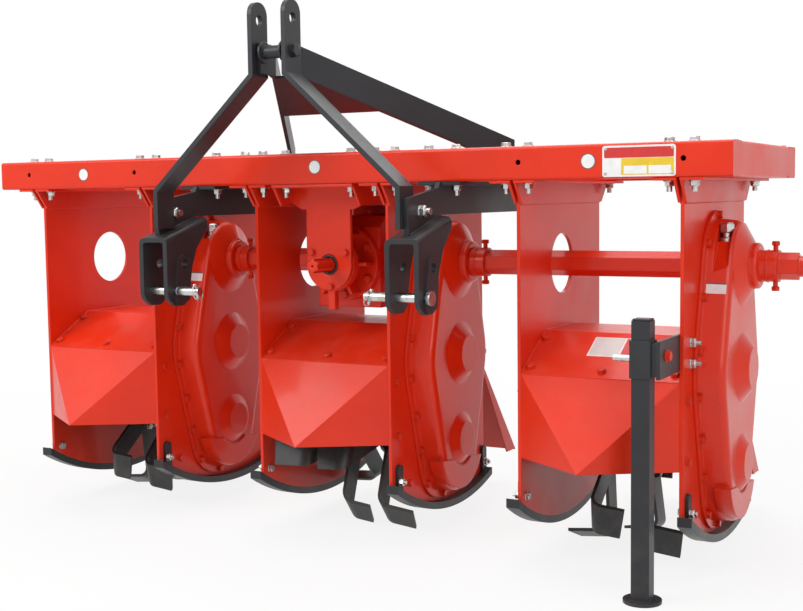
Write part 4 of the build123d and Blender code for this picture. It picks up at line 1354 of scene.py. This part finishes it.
    def build(self) -> None:
        """Every piece of the row."""
        self.build_bolts()
        self.build_plug()
        self.build_set_bolts()
        self.build_case_label()
        if self.name == "c":
            self.build_hood_label()
        self.build_welds()
        self.build_hinge_clips()

    def dress(self) -> None:
        """Finishes of the row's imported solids."""
        table = (
            (RED_ENAMEL, ("side_plate_{}_l", "side_plate_{}_r", "hanger_angles_{}", "hood_{}", "flap_{}")),
            (CASE_ENAMEL, ("gear_case_{}",)),
            (BLACK_ENAMEL, ("skids_{}", "bearings_{}")),
            (BLADE_ENAMEL, ("rotor_{}",)),
        )
        for finish, names in table:
            self.yard.coat_nodes([name.format(self.name) for name in names], finish)


@dataclass
class DriveLine:
    """Through shaft, gearbox, hanger and power take-off."""

    yard: Yard
    shaft_z: float = -199.0
    axis_y: float = 296.0
    plate_front: float = 80.0
    plate_bolts: tuple[tuple[float, float], ...] = ((-48.5, -169.0), (48.5, -169.0), (4.8, -254.0))
    flange_front: float = 158.0
    flange_bolt_r: float = 79.0
    carrier_x: float = 126.0
    carrier_bolt_r: float = 51.0
    seal: tuple[float, float, float] = (21.5, 3.4, 2.0)

    def build(self) -> None:
        """Bolts of the plate, flange and carriers, and the dark seal round the stub."""
        yard = self.yard
        front = yard.spots(Face.FRONT, *((x, self.plate_front, z) for x, z in self.plate_bolts))
        middle = (0.0, self.flange_front, self.shaft_z)
        ring = yard.spots(Face.FRONT, *around(Face.FRONT, middle, self.flange_bolt_r, 6, 0.5))
        yard.bolt("hanger_plate_bolts", "frame", front, RIM_BOLT, BOLT_ENAMEL, 21)
        yard.bolt("flange_bolts", "frame", ring, M12_BOLT, BOLT_ENAMEL, 25)
        for name, x, face in (("left", -self.carrier_x, Face.LEFT), ("right", self.carrier_x, Face.RIGHT)):
            places = around(face, (x, self.axis_y, self.shaft_z), self.carrier_bolt_r, 6, 0.5)
            yard.bolt(f"carrier_bolts_{name}", "frame", yard.spots(face, *places), RIM_BOLT, BOLT_ENAMEL, 27)
        maker = MeshMaker()
        radius, thick, gap = self.seal
        middle = (0.0, self.plate_front + gap, self.shaft_z)
        maker.wire(yard.line(*around(Face.FRONT, middle, radius, 40)), thick, True)
        yard.add("stub_seal", "frame", maker, BLACK_ENAMEL)

    def dress(self) -> None:
        """Red enamel on the whole drive line."""
        self.yard.coat_nodes(("drive_shaft", "gearbox_hanger", "gearbox", "pto_shaft"), CASE_ENAMEL)


@dataclass
class Hitch:
    """Mast, braces, rails, clevises and pins."""

    yard: Yard
    hitch_x: float = 344.0
    tongue: tuple[float, float] = (-4.0, 8.0)
    tongue_bolt: tuple[float, float] = (-102.0, -66.0)
    pin: tuple[float, float] = (-141.0, -256.0)
    pin_clip: float = 100.5
    clip_lean: float = 0.30
    clip_top: float = 15.0
    clip_rings: tuple[tuple[float, float], ...] = (
        # distance along the pin, radius
        (-3.0, 4.5),
        (0.0, 5.5),
        (3.0, 5.5),
        (3.5, 3.5),
        (31.0, 3.5),
        (34.0, 2.0),
    )
    ring_r: float = 18.7
    ring_drop: float = 17.85
    ring_gap: float = 3.0
    mast_x: float = 52.0
    mast_bolt: tuple[float, float] = (-142.0, 303.0)
    spacer_half: float = 30.0
    spacer_r: float = 15.0
    pad_r: float = 25.0
    back_low: tuple[float, float] = (-152.0, -118.0)
    back_high: tuple[float, float] = (-16.0, -79.0)
    foot_step: tuple[float, float] = (-4.0, -22.0)
    foot_line: tuple[tuple[float, float], ...] = ((452.0, -6.0), (400.0, -6.0))

    def build_bolts(self) -> None:
        """Zinc bolts of the tongues and the black nuts of the mast."""
        yard = self.yard
        pairs = [sorted(side * (self.hitch_x + step) for step in self.tongue) for side in (-1, 1)]
        right = yard.spots(Face.RIGHT, *((high, *self.tongue_bolt) for _, high in pairs))
        left = yard.spots(Face.LEFT, *((low, *self.tongue_bolt) for low, _ in pairs))
        yard.bolt("tongue_nuts", "frame", right, TONGUE_NUT, ZINC_PLATING, 31)
        yard.bolt("tongue_bolts", "frame", left, M16_BOLT, ZINC_PLATING, 33)
        mast = yard.spots(Face.RIGHT, (self.mast_x, *self.mast_bolt))
        mast += yard.spots(Face.LEFT, (-self.mast_x, *self.mast_bolt))
        yard.bolt("mast_nuts", "frame", mast, M18_NUT, BLACK_ENAMEL, 35)

    def build_pins(self) -> None:
        """Linch pins with their rings on the free ends of the hitch pins."""
        maker = MeshMaker()
        across = Face.REAR.vector()
        for side in (-1, 1):
            lean = Vector((-side * self.clip_lean, 0.0, -1.0)).normalized()
            middle = self.yard.datum.at(side * (self.hitch_x - self.pin_clip), *self.pin)
            top = middle - lean * self.clip_top * MM
            maker.drum(top, lean, self.clip_rings, 14)
            centre = top + (lean * self.ring_drop + Vector((-side * self.ring_gap, 0.0, 0.0))) * MM
            maker.wire([centre + (lean * u + across * v) * MM for u, v in circle(self.ring_r, 28)], 1.7, True)
        self.yard.add("linch_pins", "frame", maker, ZINC_PLATING)

    def build_spacer(self) -> None:
        """Tube and round pads on the mast's bolt."""
        maker = MeshMaker()
        right = Face.RIGHT.vector()
        base = self.yard.datum.at(0.0, *self.mast_bolt)
        half, pad = self.spacer_half, self.pad_r
        maker.drum(base, right, ((-half - 2, self.spacer_r), (half + 2, self.spacer_r)), 28)
        for side in (-1, 1):
            near, far = sorted((side * (half - 5), side * (half + 1)))
            maker.drum(base, right, ((near, pad - 1), (near + 1, pad), (far - 1, pad), (far, pad - 1)), 32)
        self.yard.add("mast_spacer", "frame", maker, BLACK_ENAMEL)

    def build_welds(self) -> None:
        """Black beads along the clevis backs and at the feet of the braces."""
        seams = []
        for side in (-1, 1):
            for x in (side * (self.hitch_x + step) for step in self.tongue):
                seams.append(self.yard.line((x, *self.back_low), (x, *self.back_high)))
            foot = side * (self.hitch_x + self.foot_step[0]) + self.foot_step[1]
            seams.append(self.yard.line(*((foot, *end) for end in self.foot_line)))
        self.yard.weld("hitch_welds", seams, 3.2, BLACK_ENAMEL)

    def build(self) -> None:
        """Every piece of the hitch."""
        self.build_bolts()
        self.build_pins()
        self.build_spacer()
        self.build_welds()

    def dress(self) -> None:
        """Black enamel on the hitch and zinc on its pins."""
        black = [f"{part}_{side}" for part in ("hitch_rail", "clevis", "mast_arm", "mast_brace") for side in "lr"]
        self.yard.coat_nodes(black + ["mast_bolt", "mast_gusset"], BLACK_ENAMEL)
        self.yard.coat_nodes(("hitch_pin_l", "hitch_pin_r"), ZINC_PLATING)


@dataclass
class ParkingStand:
    """Sleeve, leg and lock pin of the stand."""

    yard: Yard
    leg: tuple[float, float] = (856.0, -78.0)
    leg_top: float = -294.0
    cap_half: float = 19.0
    cap_lap: float = 0.5
    cap_height: float = 5.0
    cap_bevel: float = 1.8
    nuts: tuple[Place, ...] = ((907.0, 97.0, -356.0), (907.0, 97.0, -402.0))
    bolt: Place = (899.0, -57.0, -368.0)

    def build(self) -> None:
        """Bolts of the bracket and the leg's cap."""
        yard = self.yard
        yard.bolt("bracket_nuts", "frame", yard.spots(Face.RIGHT, *self.nuts), M12_NUT, ZINC_PLATING, 37)
        yard.bolt("sleeve_bolt", "frame", yard.spots(Face.RIGHT, self.bolt), M12_BOLT, BOLT_ENAMEL, 39)
        (x, y), half, foot = self.leg, self.cap_half, self.leg_top - self.cap_lap
        outline = yard.line(*((x + sx * half, y + sy * half, foot) for sx, sy in SQUARE))
        maker = MeshMaker()
        maker.prism(outline, Face.UP.vector() * self.cap_height * MM)
        yard.add("leg_cap", "stand", maker, BLACK_ENAMEL, self.cap_bevel, False)

    def dress(self) -> None:
        """Black enamel on the stand and zinc on its pin."""
        self.yard.coat_nodes(("stand_sleeve", "stand_leg"), BLACK_ENAMEL)
        self.yard.coat_nodes(("stand_pin",), ZINC_PLATING)


@dataclass
class Studio:
    """Floor, white surround, soft lamps and the camera at the photograph's place."""

    datum: Datum
    camera_place: Place = (1656.797, -2604.548, -30.666)
    yaw: float = 28.426
    pitch: float = 4.950
    roll: float = 0.7638
    lens: float = 56.805
    floor_near: float = 1.4
    floor_far: float = 3.2
    floor_half: float = 30.0
    floor_height: float = -0.0005
    aim: Place = (0.0, 250.0, -350.0)
    sky: tuple[float, float, float, float] = (1.0, 0.98, 0.95, 1.0)
    sky_strength: float = 0.36
    floor_grey: tuple[float, float, float, float] = (0.82, 0.82, 0.82, 1.0)
    floor_glow: float = 0.86
    lamps: tuple[tuple[str, Place, float, float], ...] = (
        # name, place from the datum in metres, side of the lamp in metres, power in watts
        ("key_lamp", (-2.6, -3.4, 2.6), 2.6, 140.0),
        ("fill_lamp", (3.6, -2.4, 1.4), 2.4, 52.0),
        ("top_lamp", (0.2, 0.2, 3.4), 3.2, 108.0),
        ("back_lamp", (-1.0, 3.6, 2.2), 2.4, 44.0),
    )

    @staticmethod
    def _stand(name: str, data: bpy.types.ID) -> bpy.types.Object:
        """Put a new object of the studio into the scene.

        Args:
            name: Name of the object.
            data: Its camera, lamp or mesh.

        Returns:
            The object.
        """
        thing = bpy.data.objects.new(name, data)
        bpy.context.scene.collection.objects.link(thing)
        return thing

    def build_camera(self) -> None:
        """Camera that looks as the photograph does."""
        yaw, pitch, roll = (math.radians(angle) for angle in (self.yaw, self.pitch, self.roll))
        ahead = Vector((-math.sin(yaw) * math.cos(pitch), math.cos(yaw) * math.cos(pitch), -math.sin(pitch)))
        right = Vector((math.cos(yaw), math.sin(yaw), 0.0))
        down = ahead.cross(right)
        across = right * math.cos(roll) + down * math.sin(roll)
        below = down * math.cos(roll) - right * math.sin(roll)
        data = bpy.data.cameras.new("photo_camera")
        data.lens, data.sensor_width = self.lens, 36.0
        data.clip_start, data.clip_end = 0.05, 100.0
        camera = self._stand("photo_camera", data)
        turn = Matrix((across, -below, -ahead)).transposed().to_4x4()
        camera.matrix_world = Matrix.Translation(self.datum.at(*self.camera_place)) @ turn
        bpy.context.scene.camera = camera

    @staticmethod
    def _seen(wiring: Wiring) -> bpy.types.NodeSocket:
        """One for camera, glossy and transmission rays, otherwise zero.

        Args:
            wiring: Wiring of a material or of the world.

        Returns:
            The value.
        """
        path = wiring.add("ShaderNodeLightPath").outputs
        two = wiring.math("ADD", path["Is Camera Ray"], path["Is Glossy Ray"], clamp=True)
        return wiring.math("ADD", two, path["Is Transmission Ray"], clamp=True)

    @staticmethod
    def _mix(wiring: Wiring, share: bpy.types.NodeSocket, first: bpy.types.Node, second: bpy.types.Node,
             end: str) -> None:
        """Mix two shaders into the tree's output.

        Args:
            wiring: Wiring of the tree.
            share: Share of the second shader.
            first: The first shader.
            second: The second shader.
            end: Blender's name of the output node.
        """
        both = wiring.add("ShaderNodeMixShader", {0: share, 1: first.outputs[0], 2: second.outputs[0]})
        wiring.add(end, {"Surface": both.outputs[0]})

    def build_world(self) -> None:
        """White surround that lights the object softly."""
        world = bpy.data.worlds.new("white_surround")
        bpy.context.scene.world = world
        world.use_nodes = True
        world.node_tree.nodes.clear()
        wiring = Wiring(world.node_tree)
        soft = wiring.add("ShaderNodeBackground", {"Color": self.sky, "Strength": self.sky_strength})
        white = wiring.add("ShaderNodeBackground", {"Color": WHITE, "Strength": 1.0})
        self._mix(wiring, self._seen(wiring), soft, white, "ShaderNodeOutputWorld")

    def build_floor(self) -> None:
        """Pale floor under the machine that keeps a soft shadow."""
        material = bpy.data.materials.new("studio_floor")
        material.use_nodes = True
        material.node_tree.nodes.clear()
        wiring = Wiring(material.node_tree)
        matt = wiring.add("ShaderNodeBsdfDiffuse", {"Color": self.floor_grey})
        glow = wiring.add("ShaderNodeEmission", {"Color": WHITE, "Strength": 1.0})
        place = wiring.add("ShaderNodeTexCoord").outputs["Object"]
        away = wiring.add("ShaderNodeVectorMath", {0: place}, operation="LENGTH").outputs["Value"]
        fade = wiring.span(away, self.floor_near, self.floor_far, self.floor_glow, 1.0)
        share = wiring.math("MULTIPLY", self._seen(wiring), fade)
        self._mix(wiring, share, matt, glow, "ShaderNodeOutputMaterial")
        half, height = self.floor_half, self.floor_height
        mesh = bpy.data.meshes.new("floor")
        corners = [(x * half, y * half, height) for x, y in SQUARE]
        mesh.from_pydata(corners, [], [(0, 1, 2, 3)])
        mesh.materials.append(material)
        self._stand("floor", mesh)

    def build_lamps(self) -> None:
        """Large soft lamps that look at the middle of the machine."""
        aim = self.datum.at(*self.aim)
        for name, place, side, power in self.lamps:
            data = bpy.data.lights.new(name, "AREA")
            data.shape, data.size, data.energy = "SQUARE", side, power
            lamp = self._stand(name, data)
            lamp.location = self.datum.origin + Vector(place)
            lamp.rotation_mode = "QUATERNION"
            lamp.rotation_quaternion = (aim - lamp.location).to_track_quat("-Z", "Y")

    def build(self) -> None:
        """Everything of the studio."""
        bpy.context.scene.view_settings.view_transform = "Standard"
        self.build_camera()
        self.build_world()
        self.build_floor()
        self.build_lamps()


def main() -> None:
    """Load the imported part, dress it and set up the studio."""
    logging.basicConfig(level=logging.INFO, format="%(name)s: %(message)s")
    for thing in list(bpy.data.objects):
        bpy.data.objects.remove(thing)
    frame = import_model()
    datum = Datum()
    yard = Yard(datum, frame["nodes"], PaintShop(), FastenerTree(), BeadTree())
    rows = (
        # name, middle, angle of the first blade on the left and on the right flange
        ("a", -715.0, (-53.0, -45.0)),
        ("b", 0.0, (-20.0, -20.0)),
        ("c", 715.0, (-53.0, -39.0)),
    )
    groups: list[object] = [BoxFrame(yard)]
    groups += [RowUnit(yard, name, centre, firsts) for name, centre, firsts in rows]
    groups += [DriveLine(yard), Hitch(yard), ParkingStand(yard)]
    for group in groups:
        LOG.info("building %s", type(group).__name__)
        group.build()
        group.dress()
    Studio(datum).build()


if __name__ == "__main__":
    main()
